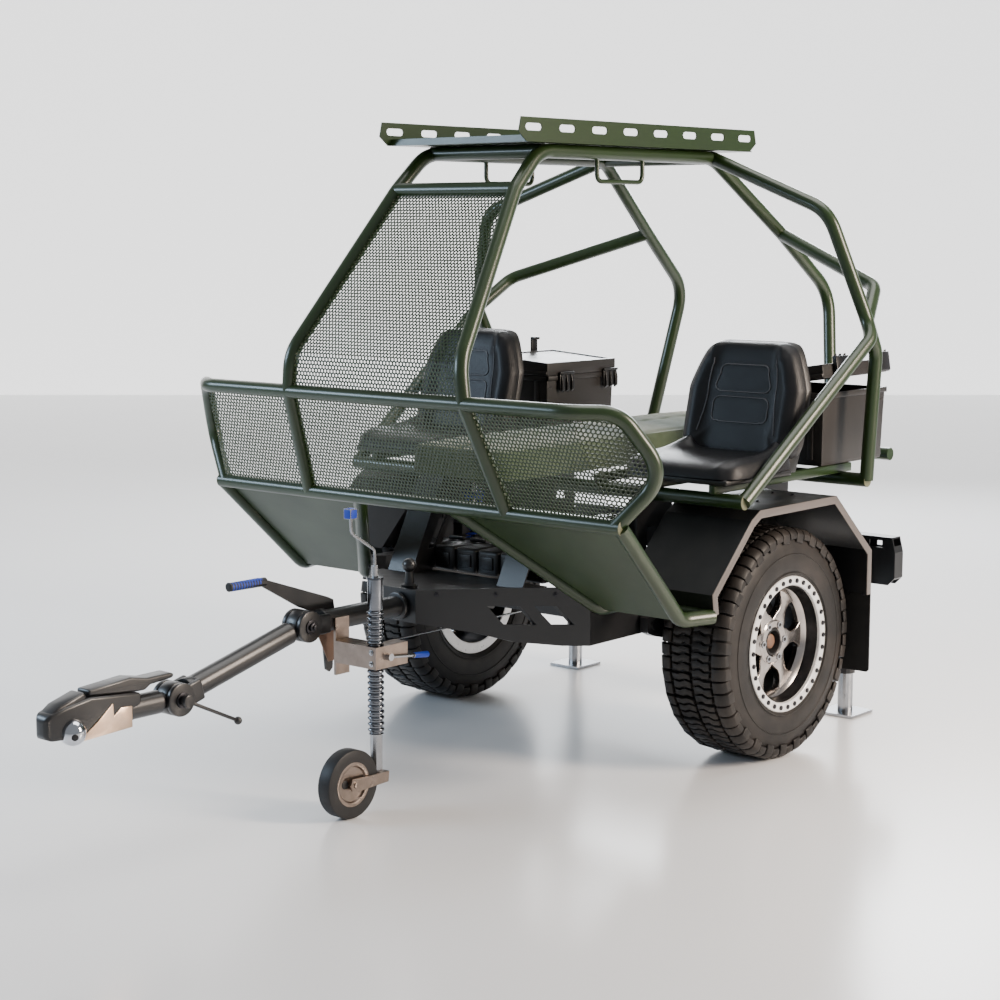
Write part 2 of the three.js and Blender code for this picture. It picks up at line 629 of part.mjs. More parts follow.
// ---- seats, boxes and the centre board ------------------------------------------------------------------
const seatBottom = deckTop + gap;
const seatFront = -400;
const seatBack = 110;
const panH = 22;
const shellX = [seatX - seatWidth / 2, seatX + seatWidth / 2];
const shellOutline = [
  [seatFront + 12, seatBottom], [seatBack - 175, seatBottom], [seatBack - 115, seatBottom + 8],
  [seatBack - 20, seatBottom + 330],
  [seatBack, seatBottom + 395], [seatBack, seatBottom + 405], [seatBack - 22, seatBottom + 405],
  [seatBack - 44, seatBottom + 335], [seatBack - 139, seatBottom + 30], [seatBack - 165, seatBottom + panH],
  [seatFront, seatBottom + panH], [seatFront, seatBottom + 8],
];
const seatShell = prism(shellOutline, 'x', [shellX[0] + 22, shellX[1] - 22]);
const cushionOutline = [
  [seatFront - 8, seatBottom + panH + gap], [seatBack - 169, seatBottom + panH + gap],
  [seatBack - 169, seatBottom + 92],
  [seatFront + 60, seatBottom + 76], [seatFront + 6, seatBottom + 62], [seatFront - 8, seatBottom + 45],
];
const seatCushion = prism(cushionOutline, 'x', [shellX[0] + 6, shellX[1] - 6]);
const backOutline = [
  [seatBack - 169 + gap, seatBottom + 92], [seatBack - 165 + gap, seatBottom + panH + 8],
  [seatBack - 141, seatBottom + 36],
  [seatBack - 46.5, seatBottom + 335], [seatBack - 24.5, seatBottom + 408], [seatBack - 34, seatBottom + 424],
  [seatBack - 70, seatBottom + 424], [seatBack - 100, seatBottom + 395],
];
const backFace = [
  [shellX[0] + 55, seatBottom], [shellX[1] - 55, seatBottom], [shellX[1], seatBottom + 60],
  [shellX[1], seatBottom + 300], [shellX[1] - 62, seatBottom + 448], [shellX[0] + 62, seatBottom + 448],
  [shellX[0], seatBottom + 300], [shellX[0], seatBottom + 60],
];
const backMask = prism(backFace, 'y', [-2000, 2000]);
const seatBackPad = prism(backOutline, 'x', shellX).intersect(backMask);
const shellMask = join(block([0, 2000], [-2000, 2000], [seatBottom - 1, seatBottom + 60]), backMask);

const boxOuterX = 790;
const boxInnerX = boxOuterX - boxWidth;
const boxFront = 277;
const boxFoot = deckTop + gap;
const boxWall = 6;
const boxTaper = 14;
const rimLip = 8;
function toolBox(x0, x1) {
  const foot = [[x0 + boxTaper, boxFront + boxTaper], [x1 - boxTaper, boxFront + boxTaper],
    [x1 - boxTaper, boxFront + boxLength - boxTaper], [x0 + boxTaper, boxFront + boxLength - boxTaper]];
  const outside = prism(foot, 'z', [boxFoot, boxFoot + boxHeight]);
  const collarZ = [boxFoot + boxHeight - 16, boxFoot + boxHeight];
  const collar = block([x0, x1], [boxFront, boxFront + boxLength], collarZ);
  const room = block([x0 + boxTaper + boxWall, x1 - boxTaper - boxWall],
    [boxFront + boxTaper + boxWall, boxFront + boxLength - boxTaper - boxWall],
    [boxFoot + boxWall, boxFoot + boxHeight + 10]);
  return cut(join(outside, collar), room);
}
const lidFoot = boxFoot + boxHeight + gap;
function boxLid(x0, x1) {
  const dome = block([x0, x1], [boxFront, boxFront + boxLength], [lidFoot, lidFoot + lidHeight]);
  const step = rimLip + boxWall;
  const cutCorner = prism([[x1 - 12, lidFoot + lidHeight + 1], [x1 + 1, lidFoot + lidHeight + 1],
    [x1 + 1, lidFoot + lidHeight - 12]], 'y', [boxFront - 1, boxFront + boxLength + 1]);
  const room = block([x0 + step, x1 - step], [boxFront + step, boxFront + boxLength - step],
    [lidFoot - 1, lidFoot + lidHeight - boxWall]);
  return cut(dome, room, cutCorner);
}
const latchW = 85;
const latchH = 78;
const latchT = 16;
const latchYs = { front: boxFront + 108, rear: boxFront + boxLength - 45 };
const latchTop = lidFoot + 10;
const latchPinIn = 10; // latch's back to its pin
const latchPinZ = latchTop - 2;
function latch(faceX, y) {
  const face = faceX + gap;
  const body = block([face, face + latchT], [y - latchW / 2, y + latchW / 2], [latchTop - latchH, latchTop]);
  const rib = (x) => block([face + latchT - 2, face + latchT + 4], [x - 6, x + 6],
    [latchTop - latchH + 8, latchTop - 10]);
  return join(body, rib(y - 28), rib(y), rib(y + 28));
}

const bolsterRear = 875;
const bolsterZ = deckTop + gap;
const roundOff = 45;
const bolsterOutline = [
  [-bolsterHalf, bolsterZ], [bolsterHalf, bolsterZ], [bolsterHalf, bolsterZ + bolsterHeight - roundOff],
  [bolsterHalf - 12, bolsterZ + bolsterHeight - 16], [bolsterHalf - roundOff, bolsterZ + bolsterHeight],
  [roundOff - bolsterHalf, bolsterZ + bolsterHeight], [12 - bolsterHalf, bolsterZ + bolsterHeight - 16],
  [-bolsterHalf, bolsterZ + bolsterHeight - roundOff],
];
const bolster = prism(bolsterOutline, 'y', [bolsterFront, bolsterRear]);

// ---- drawbar ------------------------------------------------------------------------------------------
// Each knee is a disc between two cheeks, so that the bar can be set to the height of the tow hitch.
const cheekT = 18;
const tongueW = kneeWidth - 2 * cheekT - 2 * gap;
const kneeR = kneeD / 2;
const knee2Y = kneeY - Math.sqrt(linkLength ** 2 - linkDrop ** 2);
const knee2Z = drawbarZ - linkDrop;
const kneePinD = 26;
const clearR = kneeR + 4;
const slot = (y, z, halfWidth) => disc('x', [0, y, z], clearR, [-halfWidth, halfWidth], 16);
const cheeks = (y, z) => join(
  disc('x', [0, y, z], kneeR, [-kneeWidth / 2, -tongueW / 2 - gap], 16),
  disc('x', [0, y, z], kneeR, [tongueW / 2 + gap, kneeWidth / 2], 16),
);
const pinEnd = kneeWidth / 2 + 14;
const kneePin = disc('x', [0, kneeY, drawbarZ], kneePinD / 2, [-pinEnd, pinEnd], 12);
const drawbarEnd = noseY - gap;
const fork1 = join(cheeks(kneeY, drawbarZ),
  cut(block([-kneeWidth / 2, kneeWidth / 2], [kneeY, kneeY + 90], [drawbarZ - 34, drawbarZ + 34]),
    slot(kneeY, drawbarZ, tongueW / 2 + gap)));
const drawbar = join(
  bar([[0, kneeY + 60, drawbarZ], [0, drawbarEnd, drawbarZ]], drawbarD, 0, 16),
  fork1, kneePin,
);
const drawbarBody = cut(drawbar, slot(kneeY, drawbarZ, tongueW / 2 + gap));
const drawbarPinned = join(drawbarBody, disc('x', [0, kneeY, drawbarZ], kneePinD / 2,
  [-tongueW / 2 - 1, tongueW / 2 + 1], 12));

const linkAlong = (t) => [0, kneeY + (knee2Y - kneeY) * t, drawbarZ + (knee2Z - drawbarZ) * t];
const linkBar = bar([linkAlong(0.08), linkAlong(0.9)], drawbarD, 0, 16);
const tongue1 = disc('x', [0, kneeY, drawbarZ], kneeR, [-tongueW / 2, tongueW / 2], 16);
const linkClear1 = cut(disc('x', [0, kneeY, drawbarZ], clearR + 10, [-90, 90], 16),
  disc('x', [0, kneeY, drawbarZ], clearR + 12, [-tongueW / 2, tongueW / 2], 16));
const pinBore = (y, z) => disc('x', [0, y, z], runBore(kneePinD / 2, 12), [-90, 90], 12);
const midLink = join(
  cut(join(cut(linkBar, linkClear1), tongue1), pinBore(kneeY, drawbarZ),
    disc('x', [0, knee2Y, knee2Z], clearR, [-tongueW / 2 - gap, tongueW / 2 + gap], 16)),
  cut(join(cheeks(knee2Y, knee2Z), bar([linkAlong(0.88), linkAlong(0.97)], kneeWidth - 8, 0, 16)),
    disc('x', [0, knee2Y, knee2Z], clearR, [-tongueW / 2 - gap, tongueW / 2 + gap], 16)),
  disc('x', [0, knee2Y, knee2Z], kneePinD / 2, [-kneeWidth / 2 - 12, kneeWidth / 2 + 8], 12),
);

// Coupler: tongue, shank, an inverted channel with a round nose, the ball cup and a side plate.
const noseTipY = knee2Y - couplerLength;
const couplerZ = knee2Z - 3;
const couplerHalf = 38;
const hoodTop = { front: [noseTipY + 150, couplerZ + 70], rear: [noseTipY + 330, couplerZ + 52] };
const couplerOutline = [
  [noseTipY, couplerZ - 26], [noseTipY + 30, couplerZ - 36], [noseTipY + 150, couplerZ - 34],
  [noseTipY + 230, couplerZ - 8], [noseTipY + 330, couplerZ + 18], hoodTop.rear,
  hoodTop.front, [noseTipY + 60, couplerZ + 52], [noseTipY, couplerZ + 34],
];
const nosePlan = [[-couplerHalf, noseTipY + 340], [couplerHalf, noseTipY + 340]];
for (let i = 0; i <= 6; i += 1) {
  const angle = (i / 6) * Math.PI;
  nosePlan.push([couplerHalf * Math.cos(angle), noseTipY + couplerHalf - couplerHalf * Math.sin(angle)]);
}
const cupAt = [14, noseTipY + 88, couplerZ - 20];
const cupR = 37;
const cupRoom = [
  [noseTipY + 60, couplerZ - 80], [noseTipY + 200, couplerZ - 80], [noseTipY + 240, couplerZ + 4],
  [noseTipY + 120, couplerZ + 30], [noseTipY + 60, couplerZ + 30],
];
const cup = join(
  solid(new THREE.SphereGeometry(cupR, 12, 8)).rotate([90, 0, 0]).translate(cupAt),
  block([cupAt[0] - 14, cupAt[0] + 14], [cupAt[1] - 10, cupAt[1] + 10], [cupAt[2], couplerZ + 40]),
);
const towBallR = 25;
const ballRoom = join(
  solid(new THREE.SphereGeometry(towBallR, 10, 8)).rotate([90, 0, 0]).translate(cupAt),
  disc('z', [cupAt[0], cupAt[1], 0], towBallR, [cupAt[2] - 60, cupAt[2]], 14),
);
const couplerHood = cut(
  prism(couplerOutline, 'x', [-couplerHalf, couplerHalf]).intersect(prism(nosePlan, 'z', [0, 2000])),
  prism(cupRoom, 'x', [-couplerHalf + 8, couplerHalf - 8]),
);
const sidePlate = prism([
  [noseTipY + 150, couplerZ - 44], [noseTipY + 292, couplerZ - 42], [noseTipY + 292, couplerZ + 20],
  [noseTipY + 232, couplerZ + 8], [noseTipY + 226, couplerZ + 34], [noseTipY + 168, couplerZ - 20],
], 'x', [couplerHalf - 4, couplerHalf + 3]);
const shank = bar([[0, noseTipY + 280, knee2Z], [0, knee2Y - 30, knee2Z]], drawbarD, 0, 16);
const tongue2 = disc('x', [0, knee2Y, knee2Z], kneeR, [-tongueW / 2, tongueW / 2], 16);
const shankTrim = cut(disc('x', [0, knee2Y, knee2Z], clearR + 6, [-90, 90], 16),
  disc('x', [0, knee2Y, knee2Z], clearR + 8, [-tongueW / 2, tongueW / 2], 16));
const couplerBody = cut(
  join(couplerHood, cup, sidePlate, cut(shank, shankTrim), tongue2), ballRoom, pinBore(knee2Y, knee2Z),
);
const couplerLatch = prism([
  [hoodTop.front[0], hoodTop.front[1] + gap], [hoodTop.rear[0], hoodTop.rear[1] + gap],
  [noseTipY + 350, couplerZ + 52], [noseTipY + 372, couplerZ + 66], [noseTipY + 452, couplerZ + 72],
  [noseTipY + 462, couplerZ + 82], [noseTipY + 452, couplerZ + 89], [noseTipY + 360, couplerZ + 86],
  [noseTipY + 300, couplerZ + 98],
  [noseTipY + 150, couplerZ + 86],
], 'x', [-18, 18]);

// The screw lever that locks the second knee, and the pin-shaped boss it turns on.
const leverX = kneeWidth / 2 + 22;
const lockLever = join(
  cut(disc('x', [0, knee2Y, knee2Z], 20, [kneeWidth / 2 + gap, leverX + 8], 12),
    pinBore(knee2Y, knee2Z)),
  bar([[leverX, knee2Y + 12, knee2Z - 6], [leverX, knee2Y + 190, knee2Z - 92]], 10, 0, 8),
  solid(new THREE.SphereGeometry(10.5, 8, 6)).translate([leverX, knee2Y + 194, knee2Z - 94]),
);

// Parking brake: a cranked plate lever on the far side of the drawbar, and the rod it pulls.
const brakeX = [-kneeWidth / 2 - 12, -kneeWidth / 2 - 4];
const brakeAt = [0, kneeY + 162, drawbarZ];
const gripD = 28;
const leverPlate = prism([
  [brakeAt[1] - 14, drawbarZ - 172], [brakeAt[1] + 2, drawbarZ - 182], [brakeAt[1] + 16, drawbarZ - 170],
  [brakeAt[1] + 30, drawbarZ], [brakeAt[1] + 22, drawbarZ + 52], [brakeAt[1] - 4, drawbarZ + 64],
  [brakeAt[1] - 285, drawbarZ + 160], [brakeAt[1] - 290, drawbarZ + 138], [brakeAt[1] - 130, drawbarZ + 48],
  [brakeAt[1] - 34, drawbarZ + 10],
], 'x', brakeX);
const brakeBore = disc('x', brakeAt, 9, [-200, 200], 12);
const rodZ = drawbarZ - 128;
const brakeLever = join(
  cut(leverPlate, brakeBore),
  bar([[(brakeX[0] + brakeX[1]) / 2, brakeAt[1] - 270, drawbarZ + 148],
    [(brakeX[0] + brakeX[1]) / 2, brakeAt[1] - 420, drawbarZ + 150]], gripD, 0, 12),
);
const brakePivot = disc('x', brakeAt, 8, [brakeX[0] - 6, 0], 12);
const rodX = brakeX[0] - 6;
const brakeRod = bar([[rodX, brakeAt[1] + 2, rodZ], [rodX, -96, rodZ]], 7, 0, 8);

// ---- jack -----------------------------------------------------------------------------------------------
const jackTop = 741 + lift;
const jackFoot = 241 + lift;
const clampZ = [455 + lift, 525 + lift];
const jackAt = [jackX, jackY, 0];
const jackSleeve = join(
  disc('z', jackAt, jackTubeD / 2, [jackFoot, jackTop], 12),
  disc('z', jackAt, jackRibD / 2, [jackFoot, jackTop - 98], 12),
  disc('z', jackAt, jackRibD / 2, [jackTop - 6, jackTop], 12),
);
const stemBore = disc('z', jackAt, stemD / 2 + gap, [jackFoot - 10, jackTop - 20], 12);
const screwBore = disc('z', jackAt, runBore(9, 12), [jackTop - 40, jackTop + 10], 12);
const jackTube = cut(jackSleeve, stemBore, screwBore);
const stemFoot = 124 + lift;
const jackStem = cut(disc('z', jackAt, stemD / 2, [stemFoot, jackTop - 150], 12),
  disc('z', jackAt, 12, [stemFoot + 30, jackTop], 12));
const crankTop = jackTop + 36;
const crank = join(
  disc('z', jackAt, 9, [jackTop - 300, jackTop + 30], 12),
  disc('z', jackAt, 10, [jackTop + gap, crankTop], 12),
  bar([[jackX, jackY, crankTop - 6], [jackX, jackY, crankTop + 50], [jackX, jackY - 102, crankTop + 114],
    [jackX, jackY - 104, crankTop + 165]], 10, 24, 8),
  block([jackX - 15, jackX + 15], [jackY - 119, jackY - 89], [crankTop + 158, crankTop + 190]),
);
const castorY = jackY - castorTrail;
const castorZ = castorWheelD / 2;
const forkIn = castorWheelW / 2 + 5;
const forkPlate = prism([
  [castorY - 16, castorZ - 16], [castorY + 14, castorZ - 22], [jackY + 18, stemFoot - 34],
  [jackY + 22, stemFoot - gap], [jackY - 22, stemFoot - gap], [jackY - 34, castorZ + 16],
  [castorY - 14, castorZ + 20], [castorY - 22, castorZ],
], 'x', [jackX - forkIn - 5, jackX + forkIn + 5]);
const castorBore = disc('x', [jackX, castorY, castorZ], runBore(8, 10), [jackX - 90, jackX + 90], 10);
const forkRoom = disc('x', [jackX, castorY, castorZ], castorZ + 5, [jackX - forkIn, jackX + forkIn], 24);
const jackFork = cut(forkPlate, forkRoom, castorBore);
const jockeyWheel = join(
  turned([[-castorWheelW / 2, 0], [-castorWheelW / 2, castorZ - 8], [-castorWheelW / 2 + 8, castorZ],
    [castorWheelW / 2 - 8, castorZ], [castorWheelW / 2, castorZ - 8], [castorWheelW / 2, 0]],
  [jackX, castorY, castorZ], 28),
  disc('x', [jackX, castorY, castorZ], 8, [jackX - forkIn - 12, jackX + forkIn + 12], 10),
);
const clampBlock = cut(join(
  block([drawbarD / 2 + gap, drawbarD / 2 + 10], [jackY - 30, jackY + 30], [drawbarZ - 170, drawbarZ + 14]),
  block([drawbarD / 2 + 9, jackX + 34], [jackY - 34, jackY + 34], clampZ),
  block([jackX - 20, jackX + 34], [jackY + 30, jackY + 110], clampZ),
), disc('z', jackAt, jackRibD / 2 + gap, [clampZ[0] - 10, clampZ[1] + 10], 12));
const clampLeverX = jackX + 34 + gap;
const clampLeverZ = (clampZ[0] + clampZ[1]) / 2;
const clampBarX = clampLeverX + 10;
const clampLever = join(
  disc('x', [0, jackY + 20, clampLeverZ], 12, [clampLeverX, clampLeverX + 16], 10),
  bar([[clampBarX, jackY + 20, clampLeverZ], [clampBarX, jackY + 130, clampLeverZ - 12]], 9, 0, 8),
  bar([[clampBarX, jackY + 125, clampLeverZ - 11.5], [clampBarX, jackY + 190, clampLeverZ - 18]], 17, 0, 10),
);

// ---- placing the pieces -----------------------------------------------------------------------------------
part('chassis_frame', join(chassisFrame, armPin, flip(armPin)), 'chassisBlack');
part('tow_ball', towBall, 'blackCoat');
part('rear_beam', rearBeam, 'blackCoat');
part('guard_frame', guardFrame, 'greenTube');
part('cage_loop', cageLoop, 'greenTube');
part('deck_frame', deckFrame, 'greenTube');
pair('side_frame', sideFrame, 'greenTube');
pair('foot_frame', footFrame, 'greenTube');
pair('foot_panel', footPanel, 'greenMesh');
part('screen_mesh', screenMesh, 'greenMesh');
part('guard_mesh_centre', centreMesh, 'greenMesh');
pair('guard_mesh', sideMesh, 'greenMesh');
part('rack_tray', rackTray, 'greenTube');
pair('rack_rail', rackRail, 'greenTube');
part('centre_bolster', bolster, 'bolsterCloth');
pair('fender', join(fender, stay(-150), stay(150)), 'blackCoat');
pair('mud_flap', mudFlap, 'flapRubber');
pair('trailing_arm', trailingArm, 'blackCoat');
pair('tyre', tyre, 'tyreRubber');
pair('rim', rim, 'machined');
pair('stabiliser_leg', leg, 'zinc');
pair('seat_shell', seatShell.intersect(shellMask), 'seatVinyl');
pair('seat_cushion', seatCushion, 'seatVinyl');
pair('seat_back', seatBackPad, 'seatVinyl');

// Both boxes face the same way: the latches are on the +X side and the lids hinge on the other.
const swung = (body, pinAt, angle) => body.translate(opposed(pinAt)).rotate([0, -angle, 0]).translate(pinAt);
for (const [side, x0, ajar] of [['right', boxInnerX, lidRestAngle], ['left', -boxOuterX, 0]]) {
  const x1 = x0 + boxWidth;
  const lidPin = [x0 - 6, 0, lidFoot + 2];
  const latchPin = [x1 + gap + latchPinIn, 0, latchPinZ];
  part(`tool_box_${side}`, toolBox(x0, x1), 'boxPlastic');
  part(`box_lid_${side}`, swung(boxLid(x0, x1), lidPin, ajar), 'boxPlastic');
  for (const [end, y] of Object.entries(latchYs)) {
    const raised = swung(latch(x1, y), latchPin, 180);
    part(`latch_${side}_${end}`, ajar ? swung(raised, lidPin, ajar) : latch(x1, y), 'blackCoat');
  }
}

part('drawbar', join(drawbarPinned, brakePivot), 'couplerGrey');
part('mid_link', midLink, 'couplerGrey');
part('coupler_body', couplerBody, 'couplerGrey');
part('coupler_latch', couplerLatch, 'couplerGrey');
part('lock_lever', lockLever, 'couplerGrey');
part('brake_lever', brakeLever, 'couplerGrey');
part('brake_rod', brakeRod, 'zinc');
part('jack_clamp', clampBlock, 'zinc');
part('clamp_lever', clampLever, 'zinc');
part('jack_tube', jackTube, 'zinc');
part('jack_stem', jackStem, 'zinc');
part('jack_fork', jackFork, 'zinc');
part('jack_crank', crank, 'zinc');
part('jockey_wheel', jockeyWheel, 'tyreRubber');

// The origin is under the middle of the whole cart, on the ground.
const extent = new THREE.Box3().setFromObject(cart);
const centre = extent.getCenter(new THREE.Vector3());
cart.position.set(-centre.x, -centre.y, -extent.min.z);

export default cart;
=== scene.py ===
# %% [markdown]
# # A game cart, piece by piece
# The cart is an off-road trailer for two riders: a bent-tube cage with perforated sheets, two vinyl
# bucket seats, two plastic tool boxes, beadlock wheels, a jack and a jointed hitch. The structure is
# already solved in CAD, so it is loaded as a fixed frame. Each piece made here is placed from it.

# %% Load the frame
import json
import math
import bpy
from mathutils import Matrix, Vector

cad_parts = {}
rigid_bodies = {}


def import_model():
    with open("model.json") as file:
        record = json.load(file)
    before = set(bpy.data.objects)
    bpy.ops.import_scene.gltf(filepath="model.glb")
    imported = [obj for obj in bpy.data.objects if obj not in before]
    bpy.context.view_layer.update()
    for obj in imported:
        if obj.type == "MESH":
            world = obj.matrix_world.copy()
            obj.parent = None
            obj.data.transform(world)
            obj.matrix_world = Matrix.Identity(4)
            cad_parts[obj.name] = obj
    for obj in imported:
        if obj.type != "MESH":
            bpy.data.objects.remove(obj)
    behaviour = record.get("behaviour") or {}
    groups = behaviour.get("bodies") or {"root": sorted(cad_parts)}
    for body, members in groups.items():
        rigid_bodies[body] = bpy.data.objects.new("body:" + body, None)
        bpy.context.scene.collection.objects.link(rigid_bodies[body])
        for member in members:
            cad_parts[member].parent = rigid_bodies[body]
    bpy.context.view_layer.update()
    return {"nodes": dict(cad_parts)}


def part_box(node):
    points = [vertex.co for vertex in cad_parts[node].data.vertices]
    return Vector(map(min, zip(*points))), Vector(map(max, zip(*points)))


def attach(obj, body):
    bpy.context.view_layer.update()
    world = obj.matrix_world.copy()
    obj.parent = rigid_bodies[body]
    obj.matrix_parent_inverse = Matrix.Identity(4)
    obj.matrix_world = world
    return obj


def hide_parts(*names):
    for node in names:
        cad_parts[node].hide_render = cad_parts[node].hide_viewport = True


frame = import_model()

TYRE_LOW, TYRE_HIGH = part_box("tyre_right")
AXLE = (TYRE_LOW + TYRE_HIGH) / 2
TYRE_RADIUS = (TYRE_HIGH.z - TYRE_LOW.z) / 2
print("axle at", [round(value, 3) for value in AXLE], "tyre radius", round(TYRE_RADIUS, 3))


# %% [markdown]
# Lengths on a trailer are measured from its axle, so every place below is written as across, along
# and up from the axle's middle on the ground. One helper turns that into the frame.

# %% Places measured from the axle
def at(x, y, z):
    return Vector((x, y + AXLE.y, z))


def places(points):
    return [at(*point) for point in points]


def flipped(points):
    return [(-x, y, z) for x, y, z in points]


print("the axle's middle, on the ground:", [round(value, 3) for value in at(0, 0, 0)])


# %% [markdown]
# ## Camera and light
# A camera close by would splay the cage's uprights, and one far off would flatten the cart. A long
# lens from about head height is the middle way: the uprights stay nearly parallel, and the wheels
# still turn away. It is placed as a point and two angles, so the view is easy to repeat.

# %% Camera
EYE = at(4.521, -5.813, 1.826)
YAW, PITCH = math.radians(40.625), math.radians(-7.749)
bpy.ops.object.camera_add(location=EYE, rotation=(math.pi / 2 + PITCH, 0, YAW))
camera = bpy.context.active_object
camera.data.sensor_width = 36
camera.data.lens = 72.8
camera.data.clip_end = 200
bpy.context.scene.camera = camera
print("camera", round(EYE.length, 2), "m from the cart's middle, lens", round(camera.data.lens, 1), "mm")


# %% [markdown]
# Bent tube is read from the highlights along it. A point lamp would give a thin hard line, so these
# are area lamps: a warm key on the cart's right, a cool broad fill at the front left, a soft roof
# and a lamp behind. Each tube then shows one warm line and one cool line. The world adds a dim even
# light, so that the undersides don't go black.

# %% Lights
def lamp(name, place, aim, size, power, colour):
    turn = (Vector(aim) - Vector(place)).to_track_quat("-Z", "Y").to_euler()
    bpy.ops.object.light_add(type="AREA", location=place, rotation=turn)
    light = bpy.context.active_object
    light.name = name
    light.data.shape = "RECTANGLE"
    light.data.size, light.data.size_y = size
    light.data.energy = power
    light.data.color = colour
    return light


MIDDLE = at(0, 0, 0.9)
lamp("key", at(5.2, 1.2, 3.0), MIDDLE, (1.2, 3.0), 560, (1.0, 0.84, 0.70))
lamp("fill", at(-4.4, -5.0, 3.0), MIDDLE, (3.0, 1.6), 240, (0.62, 0.80, 1.0))
lamp("roof", at(0.5, 0.5, 6.0), MIDDLE, (4.0, 4.0), 230, (1.0, 0.98, 0.95))
lamp("back", at(-3.0, 5.5, 3.4), MIDDLE, (4.0, 2.0), 420, (0.92, 0.96, 1.0))

world = bpy.data.worlds.new("studio")
bpy.context.scene.world = world
world.use_nodes = True
sky = world.node_tree.nodes["Background"]
sky.inputs["Color"].default_value = (0.93, 0.96, 1.0, 1)
sky.inputs["Strength"].default_value = 0.36


# %% [markdown]
# ## Finishes
# A finish is a small sum of patterns. The nodes could be made and linked one by one, but a sum is
# then hard to read. So a wrapper turns +, -, * and / on a socket into Math nodes, and the sums below
# are written as plain arithmetic.

# %% Shader arithmetic
class Amount:
    def __init__(self, tree, socket):
        self.tree, self.socket = tree, socket

    def maths(self, operation, *values):
        node = self.tree.nodes.new("ShaderNodeMath")
        node.operation = operation
        for slot, value in zip(node.inputs, values):
            connect(self.tree, slot, value)
        return Amount(self.tree, node.outputs[0])

    def __add__(self, other): return self.maths("ADD", self, other)
    def __radd__(self, other): return self.maths("ADD", other, self)
    def __sub__(self, other): return self.maths("SUBTRACT", self, other)
    def __rsub__(self, other): return self.maths("SUBTRACT", other, self)
    def __mul__(self, other): return self.maths("MULTIPLY", self, other)
    def __rmul__(self, other): return self.maths("MULTIPLY", other, self)
    def __truediv__(self, other): return self.maths("DIVIDE", self, other)
    def __pow__(self, other): return self.maths("POWER", self, other)


def connect(tree, slot, value):
    if isinstance(value, Amount):
        tree.links.new(value.socket, slot)
    else:
        slot.default_value = value


# %% [markdown]
# A finish is one material with its texture coordinates and a method for each pattern. It could read
# a UV map, but these pieces have none worth having. It reads the object's own coordinates, which
# stay with a piece when its joint moves.

# %% A finish
class Finish:
    def __init__(self, name, **sockets):
        self.material = bpy.data.materials.new(name)
        self.material.use_nodes = True
        self.tree = self.material.node_tree
        self.shader = self.tree.nodes["Principled BSDF"]
        self.place = self.node("ShaderNodeTexCoord", out="Object")
        self.set(**sockets)

    def node(self, kind, settings=(), inputs=(), out=0):
        node = self.tree.nodes.new(kind)
        for key, value in dict(settings).items():
            setattr(node, key, value)
        for key, value in dict(inputs).items():
            connect(self.tree, node.inputs[key], value)
        return Amount(self.tree, node.outputs[out])

    def noise(self, scale, detail=3, out=0, place=None):
        return self.node("ShaderNodeTexNoise", {}, {"Vector": place or self.place, "Scale": scale,
                                                    "Detail": detail}, out)

    def stretched(self, scale):
        return self.node("ShaderNodeMapping", {}, {"Vector": self.place, "Scale": scale})

    def cells(self, scale, feature="F1", out="Distance"):
        return self.node("ShaderNodeTexVoronoi", {"feature": feature},
                         {"Vector": self.place, "Scale": scale}, out)

    def blend(self, factor, first, second):
        mix = self.tree.nodes.new("ShaderNodeMix")
        mix.data_type = "RGBA"
        connect(self.tree, mix.inputs[0], factor)
        connect(self.tree, mix.inputs[6], first)
        connect(self.tree, mix.inputs[7], second)
        return Amount(self.tree, mix.outputs[2])

    def ramp(self, value, low, high):
        return self.node("ShaderNodeMapRange", {"clamp": True},
                         {"Value": value, "From Min": low, "From Max": high})

    def bump(self, height, strength, distance=0.001):
        return self.node("ShaderNodeBump", {}, {"Height": height, "Strength": strength,
                                                "Distance": distance})

    def set(self, **sockets):
        for key, value in sockets.items():
            connect(self.tree, self.shader.inputs[key.replace("_", " ")], value)


def rgb(red, green, blue):
    return (red, green, blue, 1.0)


def listed(title, *materials):
    print(title + ":", ", ".join(material.name for material in materials))


# %% [markdown]
# Powder coat is sprayed dry and baked, so it flows into a fine orange peel. One flat colour would
# look like plastic. So a broad cloud varies the tone, a fine noise makes the peel, and a little
# dust lies on whatever faces up. The same function serves every coat on the cart.

# %% Powder coats
def powder_coat(name, colour, shade, dust, rough, coat=0.0, peel=260.0, depth=0.22):
    finish = Finish(name)
    cloud = finish.noise(5.0, 4)
    fine = finish.noise(peel, 2)
    up = finish.node("ShaderNodeSeparateXYZ", {}, {"Vector": finish.node("ShaderNodeNewGeometry",
                     out="Normal")}, "Z")
    settled = finish.ramp(up, 0.55, 1.0) * finish.ramp(finish.noise(14.0, 5), 0.40, 0.75)
    tone = finish.blend(finish.ramp(cloud, 0.3, 0.7), rgb(*colour), rgb(*shade))
    finish.set(Base_Color=finish.blend(settled * 0.30, tone, rgb(*dust)),
               Roughness=rough + (cloud - 0.5) * 0.12 + settled * 0.10,
               Normal=finish.bump(fine, depth, 0.0006), Coat_Weight=coat,
               Coat_Roughness=0.18)
    return finish.material


